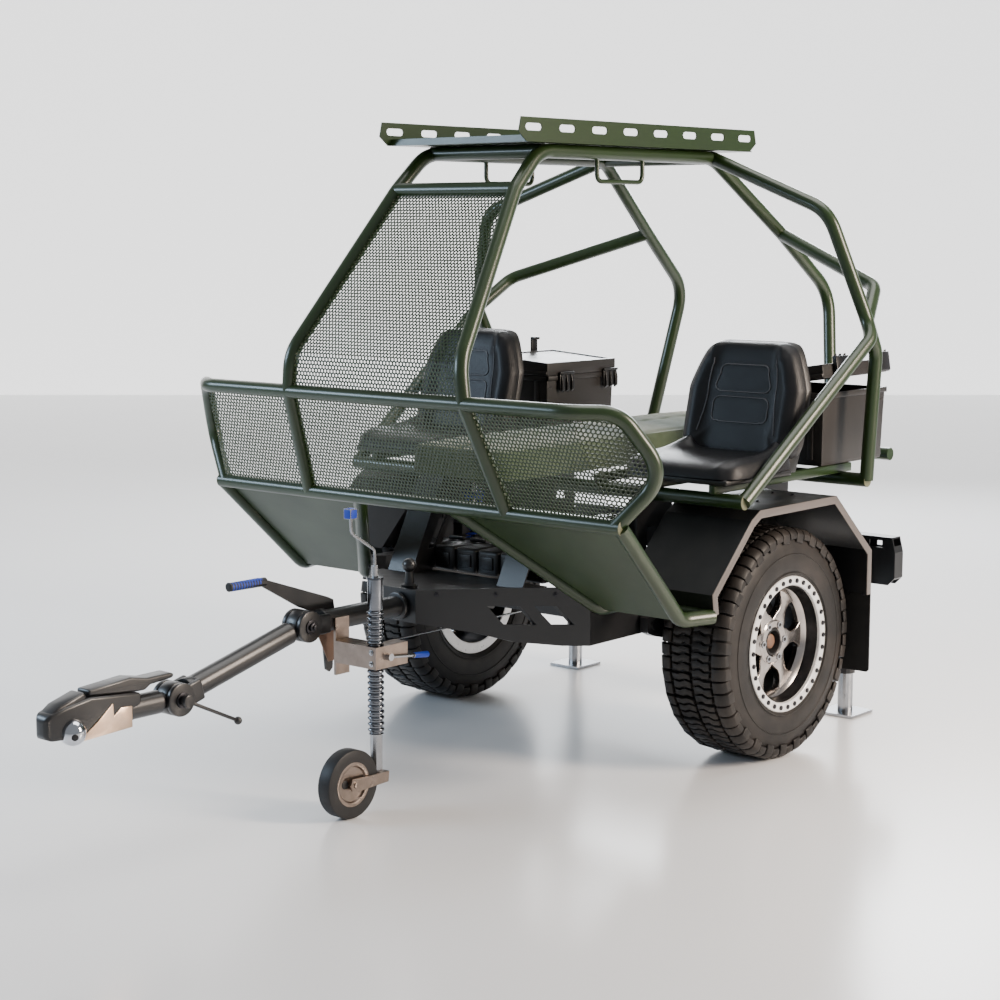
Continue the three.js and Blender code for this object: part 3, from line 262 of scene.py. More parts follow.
green_paint = powder_coat("green powder coat", (0.014, 0.033, 0.006), (0.010, 0.024, 0.004),
                          (0.07, 0.075, 0.04), 0.34, coat=0.25, depth=0.10)
green_sheet = powder_coat("green sheet coat", (0.015, 0.034, 0.007), (0.011, 0.025, 0.005),
                          (0.06, 0.07, 0.04), 0.44, coat=0.12)
# The cap coat is pale as a painted highlight: the key lamp's light on the tube ends, put into the plugs'
# colour.
cap_highlight_paint = powder_coat("painted cap highlight", (0.15, 0.155, 0.085), (0.11, 0.115, 0.06), (0.2, 0.2, 0.14), 0.45)
# The fender flange's pale coat is a painted highlight: the warm key lamp's light on the flange, put into its
# colour.
flange_highlight_paint = powder_coat("painted flange highlight", (0.135, 0.118, 0.110), (0.105, 0.092, 0.086),
                         (0.2, 0.18, 0.17), 0.42)
black_paint = powder_coat("black powder coat", (0.0075, 0.008, 0.0095), (0.005, 0.0055, 0.0065),
                          (0.045, 0.042, 0.038), 0.38, coat=0.20)
hitch_paint = powder_coat("hitch coat", (0.011, 0.0105, 0.011), (0.008, 0.008, 0.009),
                          (0.05, 0.04, 0.036), 0.40, coat=0.25, depth=0.05)
bracket_paint = powder_coat("bracket coat", (0.22, 0.12, 0.07), (0.15, 0.08, 0.05),
                            (0.2, 0.15, 0.1), 0.5)
blue_paint = powder_coat("blue spring coat", (0.010, 0.035, 0.42), (0.008, 0.025, 0.30),
                         (0.1, 0.12, 0.3), 0.28, coat=0.5)
listed("powder coats", green_paint, green_sheet, cap_highlight_paint, flange_highlight_paint, black_paint, hitch_paint,
       bracket_paint, blue_paint)


# %% [markdown]
# Bare metals differ by how they were made: a turned rim keeps fine rings, zinc plate is cloudy, and
# chrome is clean but never quite even. One roughness number can't show that. A noise stretched along
# one axis can: its scale is low along the marks and high across them.

# %% Bare metals
def bare_metal(name, colour, shade, rough, streak, depth=0.1):
    finish = Finish(name, Metallic=1.0)
    cloud = finish.noise(30.0, 4)
    lines = finish.noise(90.0, 3, place=finish.stretched(streak))
    finish.set(Base_Color=finish.blend(finish.ramp(cloud, 0.35, 0.7), rgb(*colour), rgb(*shade)),
               Roughness=rough + (cloud - 0.5) * 0.10 + (lines - 0.5) * 0.10,
               Normal=finish.bump(lines, depth, 0.0004))
    return finish.material


machined = bare_metal("machined alloy", (0.52, 0.48, 0.455), (0.40, 0.37, 0.35), 0.22, (6.0, 1.0, 1.0))
ring_coat = bare_metal("ring alloy", (0.93, 0.93, 0.92), (0.86, 0.86, 0.86), 0.30, (1.0, 1.0, 1.0), 0.05)
ring_coat.node_tree.nodes["Principled BSDF"].inputs["Metallic"].default_value = 0.35
chrome = bare_metal("chrome plate", (0.62, 0.64, 0.68), (0.52, 0.54, 0.58), 0.10, (1.0, 1.0, 0.1), 0.03)
zinc = bare_metal("zinc plate", (0.44, 0.45, 0.47), (0.36, 0.37, 0.39), 0.25, (1.0, 1.0, 0.1), 0.02)
jack_steel = bare_metal("jack steel", (0.20, 0.215, 0.24), (0.15, 0.16, 0.18), 0.17, (1.0, 1.0, 0.1), 0.02)
clamp_steel = bare_metal("clamp steel", (0.32, 0.26, 0.22), (0.25, 0.20, 0.17), 0.30, (1.0, 0.3, 1.0), 0.02)
zinc_warm = bare_metal("yellow zinc plate", (0.80, 0.60, 0.46), (0.70, 0.50, 0.36), 0.33, (1.0, 0.2, 1.0))
dark_metal = bare_metal("dark barrel", (0.045, 0.045, 0.048), (0.03, 0.03, 0.032), 0.35, (1.0, 1.0, 1.0))
bolt_steel = bare_metal("black bolts", (0.05, 0.05, 0.055), (0.03, 0.03, 0.035), 0.4, (1.0, 1.0, 1.0))
listed("bare metals", machined, ring_coat, chrome, zinc, jack_steel, clamp_steel, zinc_warm, dark_metal,
       bolt_steel)


# %% [markdown]
# Tyre rubber is nearly black and dull. On the tyre the brown that the cloudy noise mixes in is partly
# dust where it has dried, and partly painted light: the warm key lamp on the sidewall, put into its
# colour. A picture of a tyre could be wrapped round it, but two noises are enough: a cloudy one for
# the brown, and a fine one for the grain. The flaps and the grips are the same stuff in other colours.

# %% Rubber
def rubber(name, colour, dust, rough, grain):
    finish = Finish(name, Specular_IOR_Level=0.35)
    cloud = finish.noise(9.0, 5)
    speck = finish.noise(grain, 3)
    finish.set(Base_Color=finish.blend(finish.ramp(cloud, 0.42, 0.72) * 0.45, rgb(*colour), rgb(*dust)),
               Roughness=rough + (speck - 0.5) * 0.16, Normal=finish.bump(speck, 0.35, 0.0008))
    return finish.material


# The tyre's brown is partly dust and partly the key lamp's warm light painted into its colour.
tyre_rubber = rubber("tyre rubber", (0.0105, 0.0095, 0.009), (0.052, 0.043, 0.037), 0.50, 420.0)
flap_rubber = rubber("flap rubber", (0.005, 0.005, 0.005), (0.014, 0.013, 0.012), 0.60, 300.0)
grip_blue = rubber("blue grip rubber", (0.012, 0.045, 0.40), (0.02, 0.07, 0.45), 0.45, 500.0)
black_rubber = rubber("black rubber", (0.013, 0.013, 0.014), (0.03, 0.03, 0.03), 0.5, 500.0)
listed("rubbers", tyre_rubber, flap_rubber, grip_blue, black_rubber)


# %% [markdown]
# Seat vinyl is embossed with a leather grain: shallow cells with soft creases between them. The
# distance to a Voronoi cell's edge is exactly that shape, used here at about two millimetres.

# %% Vinyl
def vinyl():
    finish = Finish("black vinyl", Specular_IOR_Level=0.32)
    crease = finish.ramp(finish.cells(430.0, "DISTANCE_TO_EDGE"), 0.0, 0.12)
    cloud = finish.noise(7.0, 4)
    finish.set(Base_Color=finish.blend(finish.ramp(cloud, 0.35, 0.7), rgb(0.0030, 0.0034, 0.0048),
                                       rgb(0.0055, 0.0060, 0.0080)),
               Roughness=0.36 + (1 - crease) * 0.14 + (cloud - 0.5) * 0.12,
               Normal=finish.bump(crease, 0.30, 0.0005))
    return finish.material


seat_vinyl = vinyl()
listed("vinyl", seat_vinyl)


# %% [markdown]
# The tool boxes, the latches and the seat shells are moulded plastic. A mould is blasted to hide its
# seams, so the surface is covered in tiny pits. Voronoi cells make rounder pits than noise does.

# %% Moulded plastic
def moulded_plastic(name, colour, shade, rough=0.48):
    finish = Finish(name)
    stipple = finish.cells(700.0)
    cloud = finish.noise(4.0, 4)
    finish.set(Base_Color=finish.blend(finish.ramp(cloud, 0.35, 0.7), rgb(*colour), rgb(*shade)),
               Roughness=rough + (cloud - 0.5) * 0.14, Normal=finish.bump(stipple, 0.30, 0.0006))
    return finish.material


piping_grey = moulded_plastic("piping", (0.075, 0.075, 0.082), (0.055, 0.055, 0.060), 0.4)
box_plastic = moulded_plastic("box plastic", (0.022, 0.0195, 0.018), (0.016, 0.0145, 0.0135), 0.36)
latch_plastic = moulded_plastic("latch plastic", (0.008, 0.008, 0.0085), (0.005, 0.005, 0.006), 0.32)
shell_plastic = moulded_plastic("shell plastic", (0.012, 0.0115, 0.0115), (0.008, 0.008, 0.008), 0.36)
listed("plastics", piping_grey, box_plastic, latch_plastic, shell_plastic)


# %% [markdown]
# The bolster between the seats wears a green pile cloth. Real tufts would be thousands of hairs, and
# at this distance only their shade is seen. So a fine noise stands for the tufts, a broad one for
# the way the nap lies, and some sheen brightens the edges as fibres do.

# %% Pile cloth
def pile_cloth():
    finish = Finish("green pile cloth", Roughness=0.95, Sheen_Weight=0.5, Sheen_Roughness=0.5,
                    Specular_IOR_Level=0.2)
    tuft = finish.noise(520.0, 4)
    nap = finish.noise(22.0, 5)
    shade = finish.ramp(tuft, 0.34, 0.66) * 0.75 + finish.ramp(nap, 0.3, 0.7) * 0.25
    finish.set(Base_Color=finish.blend(shade, rgb(0.014, 0.030, 0.007), rgb(0.070, 0.110, 0.036)),
               Normal=finish.bump(tuft + nap * 0.6, 0.9, 0.003))
    return finish.material


pile = pile_cloth()
listed("cloth", pile)


# %% [markdown]
# ## Floor and wall
# A plain pale floor carries the shadows. It is slightly glossy, so that the wheels and the jack get
# soft reflections. A pale wall that glows a little stands far behind: the world alone would leave
# the holes in the perforated sheets dull.

# %% Floor and wall
floor_finish = Finish("pale floor", Specular_IOR_Level=0.4)
grey = floor_finish.noise(0.7, 3)
floor_finish.set(Base_Color=floor_finish.blend(grey, rgb(0.80, 0.80, 0.81), rgb(0.86, 0.86, 0.86)),
                 Roughness=0.22)
bpy.ops.mesh.primitive_plane_add(size=60, location=(0, 0, -0.001))
floor = bpy.context.active_object
floor.name = "floor"
floor.data.materials.append(floor_finish.material)

wall_finish = Finish("studio wall", Base_Color=rgb(0.9, 0.9, 0.9), Roughness=0.9, Emission_Strength=1.6)
wall_finish.set(Emission_Color=rgb(1.0, 1.0, 1.0))
bpy.ops.mesh.primitive_plane_add(size=1, location=at(-9.5, 11.0, 6.0), rotation=(math.pi / 2, 0, YAW))
wall = bpy.context.active_object
wall.name = "wall"
wall.scale = (30, 16, 1)
bpy.ops.object.transform_apply(location=False, rotation=False, scale=True)
wall.data.materials.append(wall_finish.material)
print("stage:", floor.name, "and", wall.name)


# %% [markdown]
# ## Making pieces
# Every piece starts from a primitive, is shaped and bevelled, and is then settled: its place goes
# into its mesh, it gets its finish and its name, and it is told which CAD body it rides on. Doing
# that in one function means that no piece is left behind when a joint moves.

# %% Selecting and joining
def only(*pieces):
    bpy.ops.object.select_all(action="DESELECT")
    for piece in pieces:
        piece.select_set(True)
    bpy.context.view_layer.objects.active = pieces[0]
    return pieces[0]


def joined(pieces):
    only(*pieces)
    if len(pieces) > 1:
        bpy.ops.object.join()
    return bpy.context.active_object


def copied(piece, turn, flip=False):
    copy = piece.copy()
    copy.data = piece.data.copy()
    copy.data.transform(turn)
    if flip:
        copy.data.flip_normals()
    bpy.context.collection.objects.link(copy)
    return copy


def mirror_image(piece):
    return copied(piece, Matrix.Scale(-1, 4, (1, 0, 0)), flip=True)


def settle(pieces, name, finish, body, stands_for=(), smooth=35):
    piece = joined(pieces if isinstance(pieces, list) else [pieces])
    bpy.ops.object.transform_apply(location=True, rotation=True, scale=True)
    if smooth:
        bpy.ops.object.shade_smooth_by_angle(angle=math.radians(smooth))
    piece.name = name
    piece.data.materials.clear()
    piece.data.materials.append(finish)
    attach(piece, body)
    if stands_for:
        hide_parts(*stands_for)
    print(f"{name}: {len(piece.data.polygons)} faces, on {body}")
    return piece


def bevelled(piece, width, segments=2, limit=30):
    only(piece)
    bevel = piece.modifiers.new("bevel", "BEVEL")
    bevel.width, bevel.segments = width, segments
    bevel.limit_method, bevel.angle_limit = "ANGLE", math.radians(limit)
    bevel.use_clamp_overlap = True
    bpy.ops.object.modifier_apply(modifier="bevel")
    return piece


# %% [markdown]
# Most of a cart is cut from bar and plate. A block is a cube stretched to two corners, a rod is a
# cone with equal ends, and a plate is an outline pushed along one axis. Vertices could be typed in,
# but a primitive has clean faces, and the Bevel modifier gives it the soft edge of real stock.

# %% Blocks, rods and plates
def block(low, high, bevel=0.003, segments=2):
    low, high = Vector(low), Vector(high)
    bpy.ops.object.select_all(action="DESELECT")
    bpy.ops.mesh.primitive_cube_add(size=1, location=(low + high) / 2)
    piece = bpy.context.active_object
    piece.scale = high - low
    bpy.ops.object.transform_apply(location=True, rotation=True, scale=True)
    return bevelled(piece, bevel, segments) if bevel else piece


def rod(start, end, radius, sides=24, bevel=0.0015, tip=None):
    start, end = Vector(start), Vector(end)
    turn = (end - start).to_track_quat("Z", "Y").to_euler()
    bpy.ops.object.select_all(action="DESELECT")
    bpy.ops.mesh.primitive_cone_add(vertices=sides, radius1=radius,
                                    radius2=radius if tip is None else tip,
                                    depth=(end - start).length, location=(start + end) / 2, rotation=turn)
    piece = bpy.context.active_object
    bpy.ops.object.transform_apply(location=True, rotation=True, scale=True)
    return bevelled(piece, bevel, 2, 50) if bevel else piece


def plate(outline, axis, span, bevel=0.0015, segments=2):
    """An outline pushed along one axis: (y, z) along x, (x, z) along y, or (x, y) along z."""
    order = {"x": (2, 0, 1), "y": (0, 2, 1), "z": (0, 1, 2)}[axis]
    bpy.ops.object.select_all(action="DESELECT")
    bpy.ops.mesh.primitive_circle_add(vertices=len(outline), fill_type="NGON")
    piece = bpy.context.active_object
    for vertex, (u, v) in zip(piece.data.vertices, outline):
        flat = (u, v, span[0])
        vertex.co = [flat[order[0]], flat[order[1]], flat[order[2]]]
    push = [0, 0, 0]
    push["xyz".index(axis)] = span[1] - span[0]
    bpy.ops.object.mode_set(mode="EDIT")
    bpy.ops.mesh.select_all(action="SELECT")
    bpy.ops.mesh.extrude_region_move(TRANSFORM_OT_translate={"value": push})
    bpy.ops.mesh.select_all(action="SELECT")
    bpy.ops.mesh.normals_make_consistent(inside=False)
    bpy.ops.object.mode_set(mode="OBJECT")
    return bevelled(piece, bevel, segments) if bevel else piece


# %% [markdown]
# Rims, tyres and the jack's sleeve are round about one axis, as if made on a lathe. The Screw
# modifier could do it, but Spin takes its centre and axis as plain numbers, and Remove Doubles then
# closes the seam and the points that lie on the axis.

# %% Turned parts and balls
def turned(profile, centre, steps=64, axis="X"):
    """A closed profile of (along the axis, radius) points, spun once round."""
    centre = Vector(centre)
    bpy.ops.object.select_all(action="DESELECT")
    bpy.ops.mesh.primitive_circle_add(vertices=len(profile), fill_type="NOTHING")
    piece = bpy.context.active_object
    for vertex, (along, radius) in zip(piece.data.vertices, profile):
        radius = max(radius, 0.0)
        vertex.co = centre + Vector((along, 0, radius) if axis == "X" else (radius, 0, along))
    bpy.ops.object.mode_set(mode="EDIT")
    bpy.ops.mesh.select_all(action="SELECT")
    spin_axis = (1, 0, 0) if axis == "X" else (0, 0, 1)
    bpy.ops.mesh.spin(steps=steps, angle=2 * math.pi, center=centre, axis=spin_axis)
    bpy.ops.mesh.select_all(action="SELECT")
    bpy.ops.mesh.remove_doubles(threshold=0.00002)
    bpy.ops.mesh.normals_make_consistent(inside=False)
    bpy.ops.object.mode_set(mode="OBJECT")
    return piece


def ball(centre, radius, rings=16):
    bpy.ops.object.select_all(action="DESELECT")
    bpy.ops.mesh.primitive_uv_sphere_add(segments=2 * rings, ring_count=rings, radius=radius,
                                         location=centre)
    bpy.ops.object.transform_apply(location=True, rotation=True, scale=True)
    return bpy.context.active_object


# %% [markdown]
# A bent tube is drawn as its centre line, with the corners rounded to the bender's radius. It could
# be swept as a mesh, but a curve has a round bevel of its own that never pinches at a bend. Turned
# into a mesh it is a plain piece like the rest.

# %% Bent tube
TUBE = 0.0483


def rounded(points, bend):
    points = [Vector(point) for point in points]
    line = [points[0]]
    for before, corner, after in zip(points, points[1:], points[2:]):
        back, on = before - corner, after - corner
        turn = math.pi - back.angle(on)
        reach = min(bend * math.tan(turn / 2), 0.45 * back.length, 0.45 * on.length)
        first, last = corner + back.normalized() * reach, corner + on.normalized() * reach
        steps = max(2, math.ceil(turn / 0.10))
        for step in range(steps + 1):
            share = step / steps
            line.append(first.lerp(corner, share).lerp(corner.lerp(last, share), share))
    return line + [points[-1]]


def tube(points, diameter=TUBE, bend=0.12, resolution=8):
    line = rounded(points, bend)
    curve = bpy.data.curves.new("tube", "CURVE")
    curve.dimensions = "3D"
    curve.bevel_depth, curve.bevel_resolution = diameter / 2, resolution
    curve.use_fill_caps = True
    spline = curve.splines.new("POLY")
    spline.points.add(len(line) - 1)
    for point, place in zip(spline.points, line):
        point.co = (*place, 1)
    piece = bpy.data.objects.new("tube", curve)
    bpy.context.collection.objects.link(piece)
    only(piece)
    bpy.ops.object.convert(target="MESH")
    return bpy.context.active_object


# %% [markdown]
# A bolt is seen as a hexagon head on a round washer. A thread would be hidden, so none is made: two
# short rods of six and sixteen sides are joined into one piece.

# %% Bolt
def bolt(place, direction, size=0.012, washer=True):
    """A hexagon head on its washer."""
    place, direction = Vector(place), Vector(direction).normalized()
    head = rod(place, place + direction * size * 0.6, size * 0.58, 6, 0.0008)
    if not washer:
        return head
    return joined([head, rod(place, place + direction * size * 0.14, size * 0.95, 16, 0)])


# %% [markdown]
# ## Cage
# The cage is welded from one size of tube. Its corners are measured once, from the axle, and named,
# so that two tubes that meet share the same point. Only the right side is written down; the left is
# its mirror image.

# %% The cage's corners
BEAM_Z, ROOF_Z, FOOT_Z = 0.93015, 2.06715, 0.58315
LOW_Y, LOW_Z = -1.023, 0.92415
HIGH_Y, HIGH_Z = -1.168, 1.27715
PILLAR_FOOT, PILLAR_CROSS = (0.444, LOW_Y, LOW_Z), (0.389, HIGH_Y, HIGH_Z)
PILLAR_BEND, SCREEN_TOP = (0.376, -1.171, 1.404), (0.262, -0.775, 1.941)
ROOF_FRONT, ROOF_REAR = (0.249, -0.640, ROOF_Z), (0.249, 0.353, ROOF_Z)
REAR_BEND, REAR_HIP, REAR_FOOT = (0.314, 0.727, 1.791), (0.347, 1.017, 1.566), (0.437, 0.912, 0.9678)
HOOP_BEND, HOOP_JOINT, HOOP_KINK = (0.781, 0.289, 1.874), (0.900, 0.368, 1.495), (0.935, 0.340, 1.440)
LEG_BEND, LEG_KINK = (0.845, 0.510, 1.610), (0.900, 0.434, 1.381)
FRONT_BEAM_END, REAR_BEAM_END = (0.880, -0.351, BEAM_Z), (0.880, 0.423, BEAM_Z)
GUARD_END, GUARD_FOOT = (0.797, HIGH_Y, HIGH_Z), (0.869, LOW_Y, LOW_Z)
WING = [GUARD_END, (0.916, -1.067, 1.274), (1.006, -0.958, 1.087), GUARD_FOOT]


def cage(name, runs, body="cart"):
    tubes = [tube(places(points), *sizes) for points, *sizes in runs]
    return settle(tubes, name + "_tubes", green_paint, body, [name], smooth=40)


def both(points, *sizes):
    return [(points, *sizes), (flipped(points), *sizes)]


def across(point, back=0.0):
    x, y, z = point
    return [(-x, y + back, z), (x, y + back, z)]


print("seat beams at", BEAM_Z, "and roof at", ROOF_Z, "above the ground")


# %% [markdown]
# The front guard is a tube bent round both wings with two uprights, and the main loop runs from the
# pillars over the roof and down behind the seats. Small round handles hang from the roof rails.
# Each weldment stands for one CAD node and is joined into one piece, as it is on the real cart.

# %% Guard and main loop
cage("guard_frame", both([(0, HIGH_Y, HIGH_Z)] + WING)
     + [([(-0.895, LOW_Y, LOW_Z), (0.895, LOW_Y, LOW_Z)],)] + both([PILLAR_FOOT, PILLAR_CROSS]))
HANDLE = [(0.249, -0.328, ROOF_Z), (0.249, -0.328, ROOF_Z - 0.095), (0.249, -0.072, ROOF_Z - 0.095),
          (0.249, -0.072, ROOF_Z)]
REAR_BAR = [(-0.695, 0.912, 0.9678), (0.695, 0.912, 0.9678)]
HOOP = [PILLAR_CROSS, PILLAR_BEND, SCREEN_TOP, ROOF_FRONT, ROOF_REAR, REAR_BEND, REAR_HIP, REAR_FOOT]
cage("cage_loop", both(HOOP, TUBE, 0.16) + both(HANDLE, 0.016, 0.028, 4) + [
    (across(SCREEN_TOP),), (across(ROOF_FRONT, back=0.03),), (across(ROOF_REAR),), (REAR_BAR,)])


# %% [markdown]
# On each side a hoop leaves the roof, kinks at the shoulder and lands on the front seat beam, and
# two braces tie it back. Below, three tubes hold the foot well. A Mirror modifier could make the
# left side, but flipping the points gives it its own piece and its own name.

# %% Side hoops and foot wells
SIDE = [([ROOF_REAR, HOOP_BEND, HOOP_JOINT, HOOP_KINK, FRONT_BEAM_END], TUBE, 0.14),
        ([REAR_BEND, LEG_BEND, HOOP_JOINT], TUBE, 0.09), ([HOOP_JOINT, LEG_KINK, REAR_BEAM_END], TUBE, 0.09)]
FOOT = [([(0.889, LOW_Y, LOW_Z), (0.857, -0.666, FOOT_Z), (0.895, -0.544, FOOT_Z)], TUBE, 0.07),
        ([(0.208, LOW_Y, LOW_Z), (0.536, -0.666, FOOT_Z), (0.536, -0.544, FOOT_Z)], TUBE, 0.07),
        ([(0.512, -0.544, FOOT_Z), (0.895, -0.544, FOOT_Z)],)]
for side, mirror in (("right", list), ("left", flipped)):
    cage("side_frame_" + side, [(mirror(points), *sizes) for points, *sizes in SIDE])
    cage("foot_frame_" + side, [(mirror(points), *sizes) for points, *sizes in FOOT])


# %% [markdown]
# The deck is two beams across the cart and three pairs of flat rails, on which the seats and the
# bolster stand. The rails are solid bars with a small bevel, since they are only seen edge on.

# %% Deck
beams = [tube(places([(-0.884, y, BEAM_Z), (0.884, y, BEAM_Z)])) for y in (-0.351, 0.423)]
rails = []
for x, rear in ((0.290, 0.912), (0.530, 0.485), (0.770, 0.485)):
    for side in (-1, 1):
        rails.append(block(at(side * x - 0.0125, -0.376, 0.9503), at(side * x + 0.0125, rear, 0.9813), 0.003))
settle(beams + rails, "deck_tubes", green_paint, "cart", ["deck_frame"], smooth=40)
print("cage made of", 2 * len(SIDE + FOOT) + 14, "tubes")


# %% [markdown]
# ## Perforated sheets
# The screen and the guard are perforated steel. Holes could be faked with transparency, but a real
# hole catches the light on its wall. So each is modelled: one hexagon ring is repeated by two
# arrays, the sheet is cut to its outline with bisect planes, and Solidify makes it as thick as the
# steel.

# %% Perforated sheet
HOLE_PITCH, HOLE, STEEL = 0.0145, 0.0049, 0.0025


def repeated(piece, count, step):
    only(piece)
    array = piece.modifiers.new("rows", "ARRAY")
    array.count = count
    array.use_relative_offset, array.use_constant_offset = False, True
    array.constant_offset_displace = step
    array.use_merge_vertices, array.merge_threshold = True, 0.0002
    bpy.ops.object.modifier_apply(modifier="rows")
    return piece


def hexagon_ring():
    bpy.ops.object.select_all(action="DESELECT")
    bpy.ops.mesh.primitive_circle_add(vertices=6, radius=HOLE_PITCH / math.sqrt(3), fill_type="NGON")
    bpy.ops.object.mode_set(mode="EDIT")
    bpy.ops.mesh.select_all(action="SELECT")
    bpy.ops.mesh.inset(thickness=HOLE_PITCH / 2 - HOLE)
    bpy.ops.mesh.delete(type="FACE")
    bpy.ops.object.mode_set(mode="OBJECT")
    return bpy.context.active_object


def perforated(name, outline, stands_for):
    """outline: corners of a flat sheet, the first two along its lower edge."""
    corners = places(outline)
    along = (corners[1] - corners[0]).normalized()
    normal = along.cross(corners[2] - corners[0]).normalized()
    up = normal.cross(along)
    flat = [((corner - corners[0]).dot(along), (corner - corners[0]).dot(up)) for corner in corners]
    low = [min(point[axis] for point in flat) for axis in (0, 1)]
    high = [max(point[axis] for point in flat) for axis in (0, 1)]
    row = HOLE_PITCH * math.sqrt(3) / 2
    cell = hexagon_ring()
    cell.data.transform(Matrix.Translation((low[0], low[1], 0)))
    pair = joined([cell, copied(cell, Matrix.Translation((HOLE_PITCH / 2, row, 0)))])
    sheet = repeated(pair, int((high[0] - low[0]) / HOLE_PITCH) + 2, (HOLE_PITCH, 0, 0))
    sheet = repeated(sheet, int((high[1] - low[1]) / (2 * row)) + 2, (0, 2 * row, 0))
    bpy.ops.object.mode_set(mode="EDIT")
    for (u0, v0), (u1, v1) in zip(flat, flat[1:] + flat[:1]):
        if math.hypot(u1 - u0, v1 - v0) > 0.004:
            bpy.ops.mesh.select_all(action="SELECT")
            bpy.ops.mesh.bisect(plane_co=(u0, v0, 0), plane_no=(v1 - v0, u0 - u1, 0), clear_outer=True)
    bpy.ops.object.mode_set(mode="OBJECT")
    place = Matrix((along, up, normal)).transposed().to_4x4()
    place.translation = corners[0]
    sheet.data.transform(place)
    solidify = sheet.modifiers.new("steel", "SOLIDIFY")
    solidify.thickness, solidify.offset = STEEL, 0
    bpy.ops.object.modifier_apply(modifier="steel")
    return settle(sheet, name, green_sheet, "cart", stands_for, smooth=0)


# %% [markdown]
# The screen bends once, so it is two flat sheets that meet at the pillar's bend. The guard has a
# sheet between its uprights, one on each side and one in each wing, whose outline is the rounded
# line of the tube that holds it.

# %% Screen and guard sheets
def other_side(point):
    return (-point[0], point[1], point[2])


LOWER_SCREEN = [other_side(PILLAR_CROSS), PILLAR_CROSS, PILLAR_BEND, other_side(PILLAR_BEND)]
UPPER_SCREEN = [other_side(PILLAR_BEND), PILLAR_BEND, SCREEN_TOP, other_side(SCREEN_TOP)]
perforated("screen_lower_sheet", LOWER_SCREEN, [])
perforated("screen_sheet", UPPER_SCREEN, ["screen_mesh"])
perforated("guard_sheet_centre", [other_side(PILLAR_FOOT), PILLAR_FOOT, PILLAR_CROSS,
                                  other_side(PILLAR_CROSS)], ["guard_mesh_centre"])
WING_LINE = [tuple(point) for point in rounded(WING, 0.12)]
for side, mirror in (("right", list), ("left", flipped)):
    inner = mirror([PILLAR_FOOT, GUARD_FOOT, GUARD_END, PILLAR_CROSS])
    outer = mirror([WING_LINE[-1], WING_LINE[0]] + WING_LINE[1:-1])
    perforated("guard_sheet_" + side, inner, ["guard_mesh_" + side])
    perforated("guard_wing_" + side, outer, [])
print("sheets cut", len([o for o in bpy.data.objects if "sheet" in o.name or "wing" in o.name]))


# %% [markdown]
# ## CAD nodes that stay
# Folded plates, the chassis and the small levers already have their true shape. They could be
# modelled again with softer edges, but folded sheet has crisp edges anyway. They keep
# their CAD mesh and only take a finish.

# %% Finishes on the CAD nodes
def coat(finish, *nodes):
    for node in nodes:
        slots = frame["nodes"][node].data.materials
        slots.clear()
        slots.append(finish)


def sides(*names):
    return [name + side for name in names for side in ("_left", "_right")]


coat(black_paint, "chassis_frame", "rear_beam", "tow_ball", *sides("fender", "trailing_arm"))
coat(green_sheet, *sides("foot_panel"))
coat(green_paint, "rack_tray", *sides("rack_rail"))
coat(hitch_paint, "coupler_latch", "brake_lever", "lock_lever")
coat(clamp_steel, "jack_clamp", "jack_fork")
coat(zinc, "brake_rod", "clamp_lever", "jack_crank", "jack_stem",
     *sides("stabiliser_leg"))
coat(flap_rubber, *sides("mud_flap"))
print("CAD nodes in the frame:", len(frame["nodes"]))


# %% [markdown]
# ## Chassis fittings
# A chassis reads as real through what is bolted to it. First the shock absorbers: a blue coil round
# a damper. A Screw modifier would make the coil upright, and it would then have to be turned. Here
# its points are laid round the damper's own line, whatever way that leans.

# %% Shock absorbers
def coil_over(side):
    low, high = at(side * 0.545, -0.055, 0.470), at(side * 0.470, -0.150, 0.905)
    line = (high - low).normalized()
    aside = line.cross(Vector((0, 1, 0))).normalized()
    forth = line.cross(aside)
    turns, radius, start, end = 7, 0.036, 0.14, 0.36
    coil = []
    for step in range(turns * 14 + 1):
        angle = 2 * math.pi * step / 14
        along = start + (end - start) * step / (turns * 14)
        coil.append(low + line * along + (aside * math.cos(angle) + forth * math.sin(angle)) * radius)
    spring = tube(coil, 0.010, 0, 3)
    settle([spring, rod(low + line * (start - 0.012), low + line * start, 0.045),
            rod(low + line * end, low + line * (end + 0.012), 0.045),
            rod(low + line * 0.02, low + line * 0.15, 0.026)],
           f"coil_over_{'right' if side > 0 else 'left'}", blue_paint, "cart")
    settle([rod(low, low + line * 0.10, 0.030), rod(low + line * 0.10, high, 0.013), ball(high, 0.02, 8)],
           f"shock_rod_{'right' if side > 0 else 'left'}", zinc, "cart")


for side in (-1, 1):
    coil_over(side)


# %% [markdown]
# Behind the nose plate stands a row of small black battery cases, each with a raised label field
# left blank, and bridges between their terminals. They are blocks in a loop, all one piece.

# %% Battery cases
cases = []
for index in range(6):
    left = -0.30 + index * 0.10
    cases.append(block(at(left, -0.665, 0.634), at(left + 0.094, -0.520, 0.722), 0.012, 3))
    cases.append(block(at(left + 0.02, -0.670, 0.655), at(left + 0.074, -0.660, 0.700), 0.003))
for index in range(5):
    x = -0.24 + index * 0.10
    cases.append(block(at(x, -0.530, 0.722), at(x + 0.07, -0.545, 0.734), 0.004))
settle(cases, "battery_cases", latch_plastic, "cart")


# %% [markdown]
# Bolts run in rows along the nose plate, the chassis sides, the fenders and the rear beam. Their
# places are lists and shares of a line, so a row stays even when its ends are moved.

